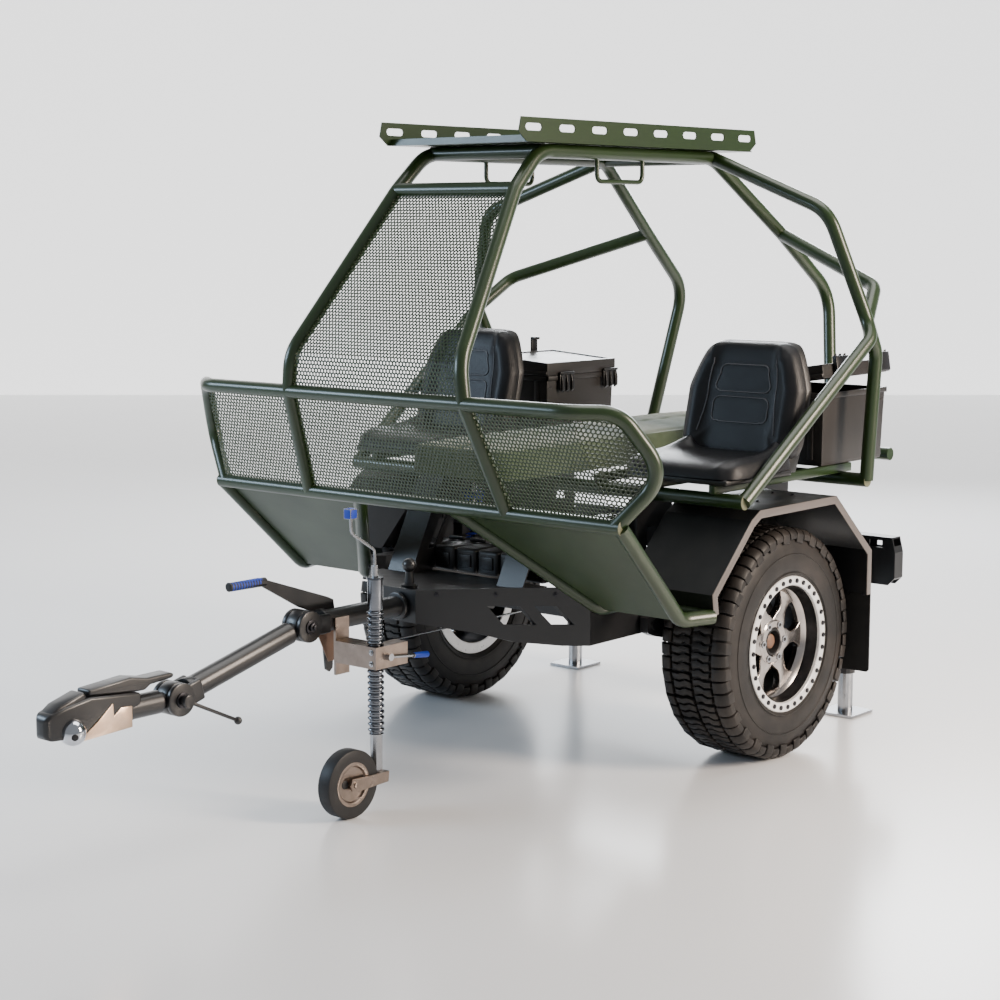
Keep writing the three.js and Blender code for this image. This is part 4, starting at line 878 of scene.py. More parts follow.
# %% Frame bolts
fittings = []
for side in (-1, 1):
    for share in (0.12, 0.46, 0.80):
        nose, flare = Vector((0.073, -1.053)), Vector((0.507, -0.680))
        spot = nose.lerp(flare, share)
        place = at(side * (spot.x + 0.002), spot.y - 0.003, 0.628)
        fittings.append(bolt(place, (side * 0.65, -0.76, 0), 0.008))
    for y in (-0.55, -0.20, 0.15, 0.55):
        fittings.append(bolt(at(side * 0.507, y, 0.62), (side, 0, 0), 0.012))
    for x in (0.62, 0.70, 0.78):
        fittings.append(bolt(at(side * x, -0.12, 0.9005), (0, 0, 1), 0.010))
        fittings.append(bolt(at(side * x, 0.10, 0.9005), (0, 0, 1), 0.010))
    for x, z in ((0.812, 0.52), (0.872, 0.52)):
        fittings.append(bolt(at(side * x, 0.4365, z), (0, -1, 0), 0.010))
for x in (-0.60, -0.30, 0.30, 0.60):
    fittings.append(bolt(at(x, 0.8205, 0.585), (0, 1, 0), 0.014))
settle(fittings, "frame_bolts", bolt_steel, "cart")


# %% [markdown]
# A tow ball stands on the nose: a ball on a turned neck that narrows under it.

# %% Ball on the nose
hitch_ball = ball(at(0, -1.003, 0.7115), 0.0235, 16)
ball_neck = turned([(0.636, 0), (0.636, 0.026), (0.646, 0.027), (0.652, 0.017), (0.690, 0.013),
                    (0.700, 0)], at(0, -1.003, 0), 32, "Z")
settle([hitch_ball, ball_neck], "nose_ball", black_paint, "cart", ["tow_ball"])


# %% [markdown]
# The fenders are bent from one sheet with a narrow flange along the outer edge. Seen from the side
# that flange is the brightest line on the cart, because the key lamp falls on it. That light is painted
# into its colour: the flange is a band of its own in a pale coat, a painted highlight on the black
# fender. The fender's own edge could be painted, but a band of its own, inset from the fender's
# outline, keeps one width round every bend.

# %% Fender flanges and lamps
ARCH = [(-0.545, 0.585), (-0.555, 0.655), (-0.337, 0.871), (-0.287, 0.900), (0.188, 0.900), (0.434, 0.681),
        (0.434, 0.522)]


def inset_line(line, depth):
    normals = []
    for (y0, z0), (y1, z1) in zip(line, line[1:]):
        length = math.hypot(y1 - y0, z1 - z0)
        normals.append(((z1 - z0) / length, (y0 - y1) / length))
    moved = []
    for index, (y, z) in enumerate(line):
        first, second = normals[max(index - 1, 0)], normals[min(index, len(normals) - 1)]
        middle = Vector(first) + Vector(second)
        middle.normalize()
        reach = depth / middle.dot(Vector(second))
        moved.append((y + middle.x * reach, z + middle.y * reach))
    return moved


flange = [(y + AXLE.y, z) for y, z in ARCH + inset_line(ARCH, 0.027)[::-1]]
for side, name in ((1, "right"), (-1, "left")):
    span = sorted((side * 0.8995, side * 0.9035))
    band = plate(flange, "x", span, 0.001)
    # The band's pale coat is a painted highlight on the black fender.
    settle(band, "fender_flange_" + name, flange_highlight_paint, "cart")
    lamp_plate = block(at(side * 0.772 - 0.030, 0.8205, 0.560), at(side * 0.772 + 0.030, 0.826, 0.630),
                       0.002)
    settle(lamp_plate, "lamp_plate_" + name, black_rubber, "cart")


# %% [markdown]
# ## Wheels
# A tyre is described by its section: a thin-walled C with rounded shoulders. The section is written
# as points across and out from the wheel's middle, and so are the outlines of the shoulder lug and
# of the zigzag blocks between the shoulders.

# %% Tyre sections
HALF = (TYRE_HIGH.x - TYRE_LOW.x) / 2
STRETCHES = 27
CARCASS = [(-0.118, 0.228), (-0.127, 0.238), (-0.1320, 0.262), (-0.1325, 0.292), (-0.1300, 0.325),
           (-0.1255, 0.350), (-0.1215, 0.3575), (-0.117, 0.368), (-0.104, 0.381), (-0.080, 0.387),
           (0.080, 0.387), (0.104, 0.381), (0.117, 0.368), (0.1215, 0.3575), (0.1255, 0.350),
           (0.1300, 0.325), (0.1325, 0.292), (0.1320, 0.262), (0.127, 0.238), (0.118, 0.228),
           (0.100, 0.228), (0.110, 0.262), (0.112, 0.320), (0.095, 0.360), (-0.095, 0.360),
           (-0.112, 0.320), (-0.110, 0.262), (-0.100, 0.228)]
SHOULDER = [(0.084, 0.384), (0.084, 0.3995), (0.104, 0.3985), (0.121, 0.3915), (0.1305, 0.3800),
            (0.1318, 0.3520), (0.1275, 0.3480), (0.114, 0.360)]
CENTRE_BLOCKS = [
    [(0.006, 0.004), (0.030, 0.010), (0.044, 0.002), (0.072, 0.006), (0.074, 0.026), (0.054, 0.022),
     (0.034, 0.032), (0.006, 0.026)],
    [(0.006, 0.034), (0.036, 0.040), (0.056, 0.030), (0.076, 0.034), (0.072, 0.058), (0.048, 0.054),
     (0.026, 0.064), (0.004, 0.058)],
    [(0.004, 0.066), (0.028, 0.072), (0.050, 0.062), (0.074, 0.066), (0.076, 0.086), (0.052, 0.084),
     (0.030, 0.090), (0.006, 0.086)]]
print("tyre", round(2 * HALF, 3), "m wide, with", STRETCHES, "stretches of tread")


# %% [markdown]
# The tread could be a displacement picture, but then its blocks would have no sides. Here one
# stretch is modelled as real lugs and blocks at the top of the wheel, and copied round it. The two
# sides are offset along the wheel, as on most off-road tyres. It carries no lettering.

# %% Tread
def tread_stretch(centre):
    """One stretch of tread at the top of the wheel: lugs on both shoulders and blocks between."""
    pieces = []
    for side in (-1, 1):
        offset = -0.046 if side > 0 else -0.030
        for start, width, reach in ((0.002, 0.040, 1.0), (0.049, 0.038, 0.9)):
            outline = [(centre.x + side * (0.084 + (x - 0.084) * (1 if x < 0.12 else reach ** 0.2)), r)
                       for x, r in SHOULDER]
            lug = plate([(x, centre.z + r) for x, r in outline], "y",
                        (centre.y + offset + start, centre.y + offset + start + width), 0.0022)
            if reach < 1:
                for vertex in lug.data.vertices:
                    if vertex.co.z < centre.z + 0.366:
                        vertex.co.z += 0.012
            pieces.append(lug)
        for outline in CENTRE_BLOCKS:
            corners = [(centre.x + side * x, centre.y + offset + y) for x, y in outline]
            pieces.append(plate(corners, "z", (centre.z + 0.384, centre.z + 0.3992), 0.0016))
    return joined(pieces)


# %% [markdown]
# The tyre is the spun carcass, two thin ribs on each sidewall and the copies of the tread, joined
# into one piece that rides on its wheel.

# %% Tyre
def about(centre, angle):
    return Matrix.Translation(centre) @ Matrix.Rotation(angle, 4, "X") @ Matrix.Translation(-centre)


def tyre(centre, name):
    carcass = turned(CARCASS, centre, 108)
    ribs = [turned([(side * 0.1312, radius - 0.003), (side * 0.1336, radius - 0.001),
                    (side * 0.1336, radius + 0.001), (side * 0.1312, radius + 0.003)], centre, 108)
            for side in (-1, 1) for radius in (0.247, 0.312)]
    stretch = tread_stretch(centre)
    tread = [copied(stretch, about(centre, 2 * math.pi * index / STRETCHES))
             for index in range(1, STRETCHES)]
    return settle([carcass, stretch] + ribs + tread, name + "_tread", tyre_rubber,
                  name.replace("tyre", "wheel"), [name], smooth=40)


# %% [markdown]
# The rim has a dark barrel, six flared spokes with a polished face, and a bright ring with bolts
# that clamps the tyre's bead. Everything round is spun from a profile, and everything that repeats
# is made once at the top and copied round. One piece for each finish keeps the finishes apart.

# %% Rim
def around(piece, centre, count, first=0.0):
    turns = [first + 2 * math.pi * index / count for index in range(count)]
    copies = [copied(piece, about(centre, turn)) for turn in turns]
    bpy.data.objects.remove(piece)
    return copies


def rim(centre, name, outward):
    """Distances across are measured towards the outside of the cart."""
    body = name.replace("rim", "wheel")

    def out(distance):
        return outward * distance

    barrel = turned([(out(x), r) for x, r in (
        (-0.121, 0.196), (-0.121, 0.228), (-0.100, 0.2275), (-0.094, 0.206), (0.086, 0.206), (0.096, 0.2275),
        (0.118, 0.2275), (0.118, 0.2010), (0.096, 0.198), (0.078, 0.190), (0.052, 0.186), (0.030, 0.190),
        (-0.100, 0.194))], centre, 96)
    settle(barrel, name + "_barrel", dark_metal, body)
    lip = turned([(out(x), r) for x, r in (
        (0.036, 0.192), (0.040, 0.176), (0.060, 0.174), (0.072, 0.181), (0.080, 0.1905), (0.076, 0.194))],
        centre, 96)
    flank = [(0.043, 0.062), (0.034, 0.088), (0.0215, 0.112), (0.0205, 0.132), (0.028, 0.152),
             (0.046, 0.170), (0.066, 0.180), (0.030, 0.188)]
    outline = [(-t, r) for t, r in flank] + flank[::-1]
    spoke = plate([(centre.y + t, centre.z + r) for t, r in outline], "x",
                  sorted((centre.x + out(0.036), centre.x + out(0.066))), 0.005, 3)
    hub = turned([(out(x), r) for x, r in (
        (0.020, 0.045), (0.020, 0.074), (0.030, 0.080), (0.066, 0.078), (0.0705, 0.072), (0.0705, 0.052),
        (0.064, 0.046))], centre, 64)
    first = math.radians(30)
    settle([lip, hub] + around(spoke, centre, 6, first), name + "_spokes", machined, body,
           [name])

    def boss(start, end, height, radius, sides, bevel=0.0):
        return rod(centre + Vector((out(start), 0, height)), centre + Vector((out(end), 0, height)), radius,
                   sides, bevel)

    pad = boss(0.060, 0.0735, 0.064, 0.0125, 20)
    socket = boss(0.070, 0.0745, 0.064, 0.0065, 6)
    settle(around(pad, centre, 6, first), name + "_pads", zinc, body)
    hole = turned([(out(x), r) for x, r in ((0.020, 0), (0.020, 0.046), (0.068, 0.046), (0.068, 0.040),
                                            (0.040, 0.036), (0.040, 0))], centre, 48)
    settle([hole] + around(socket, centre, 6, first), name + "_centre", black_rubber, body)
    cap = turned([(out(x), r) for x, r in ((0.040, 0), (0.040, 0.026), (0.056, 0.025), (0.061, 0.018),
                                           (0.062, 0))], centre, 40)
    settle(cap, name + "_cap", bracket_paint, body)
    ring = turned([(out(x), r) for x, r in (
        (0.1165, 0.203), (0.1165, 0.2345), (0.1200, 0.2365), (0.1275, 0.2360), (0.1300, 0.2335),
        (0.1300, 0.2060), (0.1275, 0.2035))], centre, 128)
    settle(ring, name + "_ring", ring_coat, body)
    head = boss(0.128, 0.1345, 0.2200, 0.0082, 12, 0.001)
    settle(around(head, centre, 32), name + "_ring_bolts", bolt_steel, body)
    bead = turned([(out(x), r) for x, r in ((-0.1215, 0.186), (-0.1215, 0.2285), (-0.1240, 0.2270),
                                            (-0.1250, 0.188), (-0.1235, 0.1865))], centre, 96)
    settle(bead, name + "_bead", ring_coat, body)
    disc = turned([(out(x), r) for x, r in ((-0.03, 0.05), (-0.03, 0.150), (-0.012, 0.150), (-0.012, 0.05))],
                  centre, 64)
    settle(disc, name + "_brake_disc", dark_metal, body)


# %% [markdown]
# Each wheel is built about the middle of its CAD tyre, and the rim is told which way is outward.

# %% Both wheels
for side in (-1, 1):
    name = "right" if side > 0 else "left"
    low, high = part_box("tyre_" + name)
    hub_centre = (low + high) / 2
    tyre(hub_centre, "tyre_" + name)
    rim(hub_centre, "rim_" + name, side)
print("tread blocks per tyre:", STRETCHES * 10)


# %% [markdown]
# ## Bucket seats
# Each seat is a black vinyl foam pad in a plastic shell. It could be sculpted, but a form written as
# rules is easy to change: the sides rise as bolsters, the middle is dished, the rim rolls over and
# back. A grid is pushed into that form. The same form gives the grey piping its path.

# %% Seat forms
PAN_LOW, PAN_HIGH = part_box("seat_cushion_right")
SEAT_X = (PAN_LOW.x + PAN_HIGH.x) / 2
SEAT_HALF = 0.230
SEAT_FRONT = PAN_LOW.y - AXLE.y
SEAT_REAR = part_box("seat_shell_right")[1].y - AXLE.y
PAN_Z = PAN_LOW.z


def grid(columns, rows, form, depth, direction):
    """A skin over form(s, t), s and t from -1 to 1, closed towards the back by depth."""
    bpy.ops.object.select_all(action="DESELECT")
    bpy.ops.mesh.primitive_grid_add(x_subdivisions=columns, y_subdivisions=rows, size=2)
    piece = bpy.context.active_object
    for vertex in piece.data.vertices:
        vertex.co = form(vertex.co.x, vertex.co.y)
    bpy.ops.object.mode_set(mode="EDIT")
    bpy.ops.mesh.select_all(action="SELECT")
    push = [value * depth for value in direction]
    bpy.ops.mesh.extrude_region_move(TRANSFORM_OT_translate={"value": push})
    bpy.ops.mesh.select_all(action="SELECT")
    bpy.ops.mesh.normals_make_consistent(inside=False)
    bpy.ops.object.mode_set(mode="OBJECT")
    return piece


def roll(value, power):
    return 1 - (1 - min(abs(value), 1.0) ** power) ** (1 / power)


def superellipse(s, t, power):
    """Moves a point of the square onto a square with rounded corners."""
    reach = max(abs(s), abs(t))
    if reach < 1e-6:
        return s, t
    length = (abs(s) ** power + abs(t) ** power) ** (1 / power)
    return s * reach / length, t * reach / length


# %% [markdown]
# A form turns (s, t), both from -1 to 1, into a place on the foam. Each bump of the foam is one line
# of the sum: bolsters are bell curves near the edges, and the quilted fields are flat-topped ones.
# The cushion has a rounded nose at its front and rises where it meets the back.

# %% Back and cushion
def back_form(centre_x, grow=0.0, behind=0.0):
    def form(s, t):
        u, v = superellipse(s, t, 10)
        height = (v + 1) / 2
        half = (SEAT_HALF + grow) * (1 - 0.27 * max(0.0, (height - 0.60) / 0.40) ** 1.15
                                     - 0.06 * max(0.0, (0.20 - height) / 0.20) ** 2)
        z = PAN_Z + 0.028 + (0.394 + grow) * height
        lean = SEAT_REAR - 0.168 + 0.078 * height + 0.014 * height ** 2
        rim = 0.036 * roll(max(abs(s), abs(t)), 5)
        bolster = -0.026 * math.exp(-((abs(s) - 0.80) / 0.15) ** 2) * (1 - 0.55 * height)
        dish = 0.008 * (1 - s * s) * (1 - t * t)
        quilt = -0.0018 * math.exp(-((abs(s) / 0.50) ** 8 + ((t - 0.375) / 0.24) ** 8))
        quilt -= 0.0018 * math.exp(-((abs(s) / 0.50) ** 8 + ((t + 0.175) / 0.23) ** 8))
        return at(centre_x + u * half, lean + rim + bolster + dish + quilt + behind, z)
    return form


def cushion_form(centre_x):
    def form(s, t):
        u, v = superellipse(s, t, 7)
        reach = (SEAT_REAR - 0.120 - SEAT_FRONT) / 2
        x = centre_x + u * (SEAT_HALF + 0.004) * (1 - 0.05 * max(0.0, -t) ** 3)
        y = SEAT_FRONT + reach * (1 + v)
        rim = 0.050 * roll(max(abs(s), abs(min(t, 0.9))), 4.5)
        nose = 0.016 * max(0.0, -t) ** 3
        bolster = (0.010 + 0.034 * max(0.0, t + 0.1) ** 1.6) * math.exp(-((abs(s) - 0.82) / 0.13) ** 2)
        dish = -0.014 * (1 - s * s) * math.exp(-((t - 0.25) / 0.6) ** 2)
        return at(x, y, PAN_Z + 0.062 - rim - nose + bolster + dish + 0.006 * t)
    return form


# %% [markdown]
# Piping is a cord sewn into the seam. It is a thin tube whose line lies on the form, a hair proud of
# it, so it follows every bump without a modifier.

# %% Piping
def rounded_rectangle(left, right, low, high, radius, steps=7):
    loop = []
    for x, z, first in ((right - radius, high - radius, 0), (left + radius, high - radius, 90),
                        (left + radius, low + radius, 180), (right - radius, low + radius, 270)):
        for step in range(steps + 1):
            angle = math.radians(first + 90 * step / steps)
            loop.append((x + radius * math.cos(angle), z + radius * math.sin(angle)))
    return loop + loop[:1]


def piping(form, path, lift=0.0012):
    """Grey piping over the form along a path of (s, t)."""
    line = []
    for s, t in path:
        place = form(s, t)
        line.append(place + Vector((0, -lift, lift * 0.3)))
    return tube(line, 0.0045, 0, 2)


# %% [markdown]
# A seat is made of a back pad, a base pad, piping and a shell, and its foam gives under a rider. The
# shell is the back's own form moved behind the pad, with a pan below, a skirt that joins them and
# three ribs behind.

# %% Both seats
def seat(name, centre_x):
    form = back_form(centre_x)
    pad = grid(56, 56, form, 0.026, (0, 1, 0))
    pad = settle(pad, f"seat_back_pad_{name}", seat_vinyl, "cart",
                 [f"seat_back_{name}"], 60)
    base = grid(48, 44, cushion_form(centre_x), 0.012, (0, 0, -1))
    for vertex in base.data.vertices:
        vertex.co.z = max(vertex.co.z, PAN_Z + 0.0006)
    base = settle(base, f"seat_base_pad_{name}", seat_vinyl, "cart",
                  [f"seat_cushion_{name}"], 60)
    lines = [piping(form, rounded_rectangle(-0.49, 0.49, 0.14, 0.61, 0.12)),
             piping(form, rounded_rectangle(-0.49, 0.49, -0.40, 0.05, 0.12))]
    for side in (-1, 1):
        edge = [(side * (0.60 + 0.09 * abs(step / 8 - 1) ** 1.5), -0.56 + 1.30 * step / 16)
                for step in range(17)]
        lines.append(piping(form, edge))
    settle(lines, f"seat_piping_{name}", piping_grey, "cart", smooth=60)
    shell_back = grid(40, 40, back_form(centre_x, 0.004, 0.0275), 0.010, (0, 1, 0))
    half = SEAT_HALF - 0.022
    pan = block(at(centre_x - half, SEAT_FRONT + 0.010, PAN_Z - 0.0215),
                at(centre_x + half, SEAT_REAR - 0.115, PAN_Z - 0.0003), 0.008, 3)
    skirt = plate([(y + AXLE.y + SEAT_REAR, z + PAN_Z) for y, z in (
        (-0.200, -0.0195), (-0.075, -0.014), (-0.042, 0.060), (-0.100, 0.060), (-0.150, 0.001),
        (-0.200, 0.001))], "x", (centre_x - half + 0.010, centre_x + half - 0.010), 0.006)
    ribs = [block(at(centre_x + x - 0.006, SEAT_REAR - 0.080, PAN_Z + 0.050),
                  at(centre_x + x + 0.006, SEAT_REAR - 0.018, PAN_Z + 0.290), 0.003)
            for x in (-0.12, 0.0, 0.12)]
    settle([shell_back, pan, skirt] + ribs, f"seat_shell_body_{name}", shell_plastic, "cart",
           [f"seat_shell_{name}"], 50)


seat("right", SEAT_X)
seat("left", -SEAT_X)


# %% [markdown]
# ## Tool boxes
# The boxes are moulded: every edge is soft, the walls taper so that the mould lets go, and a thick
# collar carries the lid. Each starts as a block whose lower corners are drawn in. Inset and Extrude
# then sink its inside, which is quicker than a Boolean and leaves cleaner faces.

# %% Box bodies
BOX_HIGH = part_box("tool_box_right")[1]
BOX_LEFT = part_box("tool_box_left")[0]
LID_HINGE_Z = BOX_HIGH.z + 0.0023


def box_body(low, high, name):
    taper = 0.014
    body = block(low, high, 0)
    middle = (low + high) / 2
    for vertex in body.data.vertices:
        draw = taper if vertex.co.z < middle.z else taper * 0.4
        vertex.co.x += math.copysign(draw, middle.x - vertex.co.x)
        vertex.co.y += math.copysign(draw, middle.y - vertex.co.y)
    bpy.ops.object.mode_set(mode="EDIT")
    bpy.ops.mesh.select_all(action="DESELECT")
    bpy.ops.object.mode_set(mode="OBJECT")
    for face in body.data.polygons:
        face.select = face.normal.z > 0.9
    bpy.ops.object.mode_set(mode="EDIT")
    bpy.ops.mesh.select_mode(type="FACE")
    bpy.ops.mesh.inset(thickness=0.007)
    bpy.ops.mesh.extrude_region_move(TRANSFORM_OT_translate={"value": (0, 0, low.z + 0.008 - high.z)})
    bpy.ops.object.mode_set(mode="OBJECT")
    body = bevelled(body, 0.005, 3)
    trim = []
    z0, z1 = high.z - 0.020, high.z - 0.0004
    for x0, x1, y0, y1 in ((low.x, high.x, low.y, low.y + 0.012), (low.x, high.x, high.y - 0.012, high.y),
                           (low.x, low.x + 0.012, low.y, high.y), (high.x - 0.012, high.x, low.y, high.y)):
        trim.append(block((x0, y0, z0), (x1, y1, z1), 0.003))
    for share in (0.18, 0.50, 0.82):
        x = low.x + (high.x - low.x) * share
        trim.append(block((x - 0.012, low.y + 0.004, low.z + 0.02), (x + 0.012, low.y + 0.014, z0), 0.004))
    for y in (low.y + 0.012, high.y - 0.038):
        trim.append(block((high.x - 0.016, y, z0 - 0.030), (high.x - 0.006, y + 0.026, z0 - 0.020), 0.002))
    settle([body] + trim, f"tool_box_body_{name}", box_plastic, "cart",
           [f"tool_box_{name}"])


# %% [markdown]
# A lid is a shallow tray upside down: a raised rim round a flat panel above, and a hollow below.
# It is modelled closed and then turned about its hinge, which is easier than modelling it at an
# angle. The right lid stands ajar, and the left lid's top rises towards its hinge.

# %% Lids
def lid_turn(hinge, angle):
    return Matrix.Translation(hinge) @ Matrix.Rotation(-angle, 4, "Y") @ Matrix.Translation(-hinge)


def box_lid(low, high, name, angle, wedge):
    z0 = high.z + 0.0004
    hinge = Vector((low.x - 0.006, 0, LID_HINGE_Z))
    dome = block((low.x, low.y, z0), (high.x, high.y, z0 + 0.0495), 0)
    for face in dome.data.polygons:
        face.select = face.normal.z > 0.9
    bpy.ops.object.mode_set(mode="EDIT")
    bpy.ops.mesh.select_mode(type="FACE")
    bpy.ops.mesh.inset(thickness=0.020)
    bpy.ops.mesh.extrude_region_move(TRANSFORM_OT_translate={"value": (0, 0, -0.005)})
    bpy.ops.object.mode_set(mode="OBJECT")
    for face in dome.data.polygons:
        face.select = face.normal.z < -0.9
    bpy.ops.object.mode_set(mode="EDIT")
    bpy.ops.mesh.inset(thickness=0.012)
    bpy.ops.mesh.extrude_region_move(TRANSFORM_OT_translate={"value": (0, 0, 0.036)})
    bpy.ops.object.mode_set(mode="OBJECT")
    for vertex in dome.data.vertices:
        if vertex.co.z > z0 + 0.040:
            vertex.co.z += wedge * (high.x - vertex.co.x) / (high.x - low.x)
    dome = bevelled(dome, 0.007, 3)
    pieces = [dome]
    for x0, x1, y0, y1 in ((low.x - 0.003, high.x - 0.002, low.y - 0.003, low.y + 0.010),
                           (low.x - 0.003, high.x - 0.002, high.y - 0.010, high.y + 0.003)):
        pieces.append(block((x0, y0, z0 + 0.002), (x1, y1, z0 + 0.018), 0.003))
    for y in (low.y + 0.10, high.y - 0.10):
        pin = (low.x - 0.006, y, LID_HINGE_Z)
        pieces.append(rod((pin[0], y - 0.030, pin[2]), (pin[0], y + 0.030, pin[2]), 0.007, 16))
    for piece in pieces:
        piece.data.transform(lid_turn(hinge, angle))
    settle(pieces, f"box_lid_body_{name}", box_plastic, f"lid_{name}",
           [f"box_lid_{name}"])


# %% [markdown]
# A latch is a plate on a round pin with three ribs down its face. On the open lid the latches are
# flipped up about their pins, so the same latch is turned over rather than made twice.

# %% Latches
LATCH_TALL = 0.078


def latch_body(low_corner, width, tall, flip_up):
    """A latch with three ribs. The corner is its lower one, against the lid's face."""
    x, y, z = low_corner
    top = z + tall
    pieces = [block((x, y, z + 0.010), (x + 0.011, y + width, top), 0.003),
              rod((x + 0.010, y - 0.001, top - 0.002), (x + 0.010, y + width + 0.001, top - 0.002),
                  0.0062, 16)]
    for share in (0.14, 0.5, 0.86):
        middle = y + width * share
        pieces.append(plate([(x + 0.008, z + 0.002), (x + 0.020, z + 0.012), (x + 0.020, z + 0.046),
                             (x + 0.014, z + tall - 0.008), (x + 0.008, z + tall - 0.004)], "y",
                            (middle - 0.007, middle + 0.007), 0.002))
    if flip_up:
        pin = Vector((x + 0.010, 0, top - 0.002))
        for piece in pieces:
            piece.data.transform(lid_turn(pin, math.pi))
    return pieces


for name, angle, wedge in (("right", math.radians(9), 0.0), ("left", 0.0, 0.024)):
    low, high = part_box("tool_box_" + name)
    box_body(low, high, name)
    box_lid(low, high, name, angle, wedge)
    hinge = Vector((low.x - 0.006, 0, LID_HINGE_Z))
    for end in ("front", "rear"):
        node = f"latch_{name}_{end}"
        near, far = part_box(node)
        corner = (high.x + 0.0003, near.y, high.z + 0.0103 - LATCH_TALL)
        pieces = latch_body(corner, far.y - near.y, LATCH_TALL, angle > 0)
        for piece in pieces:
            piece.data.transform(lid_turn(hinge, angle))
        settle(pieces, node + "_clip", latch_plastic, node + "_body", [node])


# %% [markdown]
# A short strap with a hooked top stands at the left lid's outer edge. It is two soft blocks.

# %% Strap on the left lid
foot = Vector((BOX_LEFT.x + 0.001, AXLE.y + 0.566, BOX_HIGH.z + 0.070))
strap = block(foot, foot + Vector((0.010, 0.038, 0.060)), 0.004, 3)
hook = block(foot + Vector((0, 0, 0.048)), foot + Vector((0.023, 0.038, 0.060)), 0.004, 3)
settle([strap, hook], "lid_strap", latch_plastic, "lid_left")


# %% [markdown]
# ## Centre bolster
# Between the seats runs a padded board in green pile cloth, where a dog or a rifle case lies. A
# cloth simulation would take long and give much the same, since the board is stuffed hard. So it is
# a form like the seats': crowned, with a channel down its middle, a slight ripple and two seams.

# %% Bolster
def bolster():
    low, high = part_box("centre_bolster")
    middle, half = (low + high) / 2, (high - low) / 2

    def form(s, t):
        u, v = superellipse(s, t, 14)
        crown = 0.012 * (1 - s * s) * (1 - t ** 6)
        channel = -0.010 * math.exp(-(s / 0.045) ** 2) - 0.006 * math.exp(-((abs(s) - 0.93) / 0.03) ** 2)
        drop = 0.045 * roll(max(abs(s), abs(t)), 9)
        ripple = 0.0016 * math.sin(t * 41 + 3 * s) * (1 - s * s)
        return Vector((middle.x + u * half.x, middle.y + v * half.y,
                       high.z - 0.012 + crown + channel - drop + ripple))

    pad = grid(44, 150, form, 2 * half.z - 0.046, (0, 0, -1))
    for vertex in pad.data.vertices:
        vertex.co.z = max(vertex.co.z, low.z + 0.0005)
    pad = settle(pad, "bolster_pad", pile, "cart", ["centre_bolster"], 60)
    seams = [tube([form(s, -0.985 + 1.97 * step / 60) + Vector((0, 0, 0.0005)) for step in range(61)],
                  0.004, 0, 2) for s in (-0.93, 0.93)]
    settle(seams, "bolster_seams", green_sheet, "cart")


bolster()


# %% [markdown]
# ## Hitch
# The drawbar, the link and the coupler meet in two locking knees: a round tongue between two cheeks,
# on a pin. The CAD has the joint; here the round stock is remade smooth, with the same gaps, so that
# each knee still folds. The cheeks get a soft edge and a bolt on a washer.

# %% Knees and bars
KNEE_1 = Vector((0, -1.495, 0.583))
KNEE_2 = Vector((0, -2.0202, 0.445))
LINK = (KNEE_2 - KNEE_1).normalized()
BAR, TONGUE, CHEEK_IN, CHEEK_OUT = 0.070, 0.0235, 0.0245, 0.042


def knee_disc(knee, x0, x1):
    return rod(at(x0, knee.y, knee.z), at(x1, knee.y, knee.z), 0.050, 48, 0.004)


def knee_bolts(knee):
    """The washer, the head and the end of the bolt on one side, and its nut on the other."""
    return [rod(at(x0, knee.y, knee.z), at(x1, knee.y, knee.z), radius, sides, bevel)
            for x0, x1, radius, sides, bevel in (
                (0.042, 0.047, 0.024, 32, 0.001), (0.047, 0.057, 0.0165, 6, 0.0015),
                (0.057, 0.064, 0.009, 16, 0.001), (-0.042, -0.052, 0.0165, 6, 0.0015))]


def cheeks(knee):
    return [knee_disc(knee, CHEEK_IN, CHEEK_OUT), knee_disc(knee, -CHEEK_OUT, -CHEEK_IN)]


neck = tube(places([(0, -1.415, 0.583), (0, -1.056, 0.583)]), BAR, 0, 14)
fork = cheeks(KNEE_1)
fork += [block(at(x0, -1.480, 0.552), at(x1, -1.405, 0.614), 0.006, 3)
         for x0, x1 in ((0.0245, 0.041), (-0.041, -0.0245))]
collar = [rod(at(0, -1.072, 0.583), at(0, -1.0545, 0.583), 0.046, 40, 0.004),
          rod(at(0, -1.420, 0.583), at(0, -1.402, 0.583), 0.041, 40, 0.004)]
settle([neck] + fork + collar, "drawbar_body", hitch_paint, "cart", ["drawbar"])
settle(knee_bolts(KNEE_1), "knee_bolt_rear", bolt_steel, "cart")


# %% [markdown]
# The link slopes down to the front knee, so its parts are placed along the line between the knees
# and not along an axis. A lever with a ball on its end locks the front knee.

# %% Link
link_start, link_end = KNEE_1 + LINK * 0.062, KNEE_2 - LINK * 0.062
link = [tube(places([link_start, link_end]), BAR, 0, 14), knee_disc(KNEE_1, -TONGUE, TONGUE),
        rod(at(*(KNEE_1 + LINK * 0.020)), at(*(KNEE_1 + LINK * 0.085)), 0.0230, 24, 0.002, 0.033),
        rod(at(*(KNEE_2 - LINK * 0.085)), at(*(KNEE_2 - LINK * 0.050)), 0.035, 40, 0.003, 0.041)]
link += cheeks(KNEE_2)
for x0, x1 in ((0.0245, 0.0415), (-0.0415, -0.0245)):
    arm = block((x0, -0.085, -0.033), (x1, -0.020, 0.033), 0.006, 3)
    turn = Matrix.Rotation(math.atan2(-LINK.z, -LINK.y), 4, "X")
    arm.data.transform(Matrix.Translation(at(*KNEE_2)) @ turn @ Matrix.Scale(-1, 4, (0, 1, 0)))
    arm.data.flip_normals()
    link.append(arm)
settle(link, "mid_link_body", hitch_paint, "link", ["mid_link"])
settle(knee_bolts(KNEE_2), "knee_bolt_front", bolt_steel, "link")
LEVER_X = 0.064
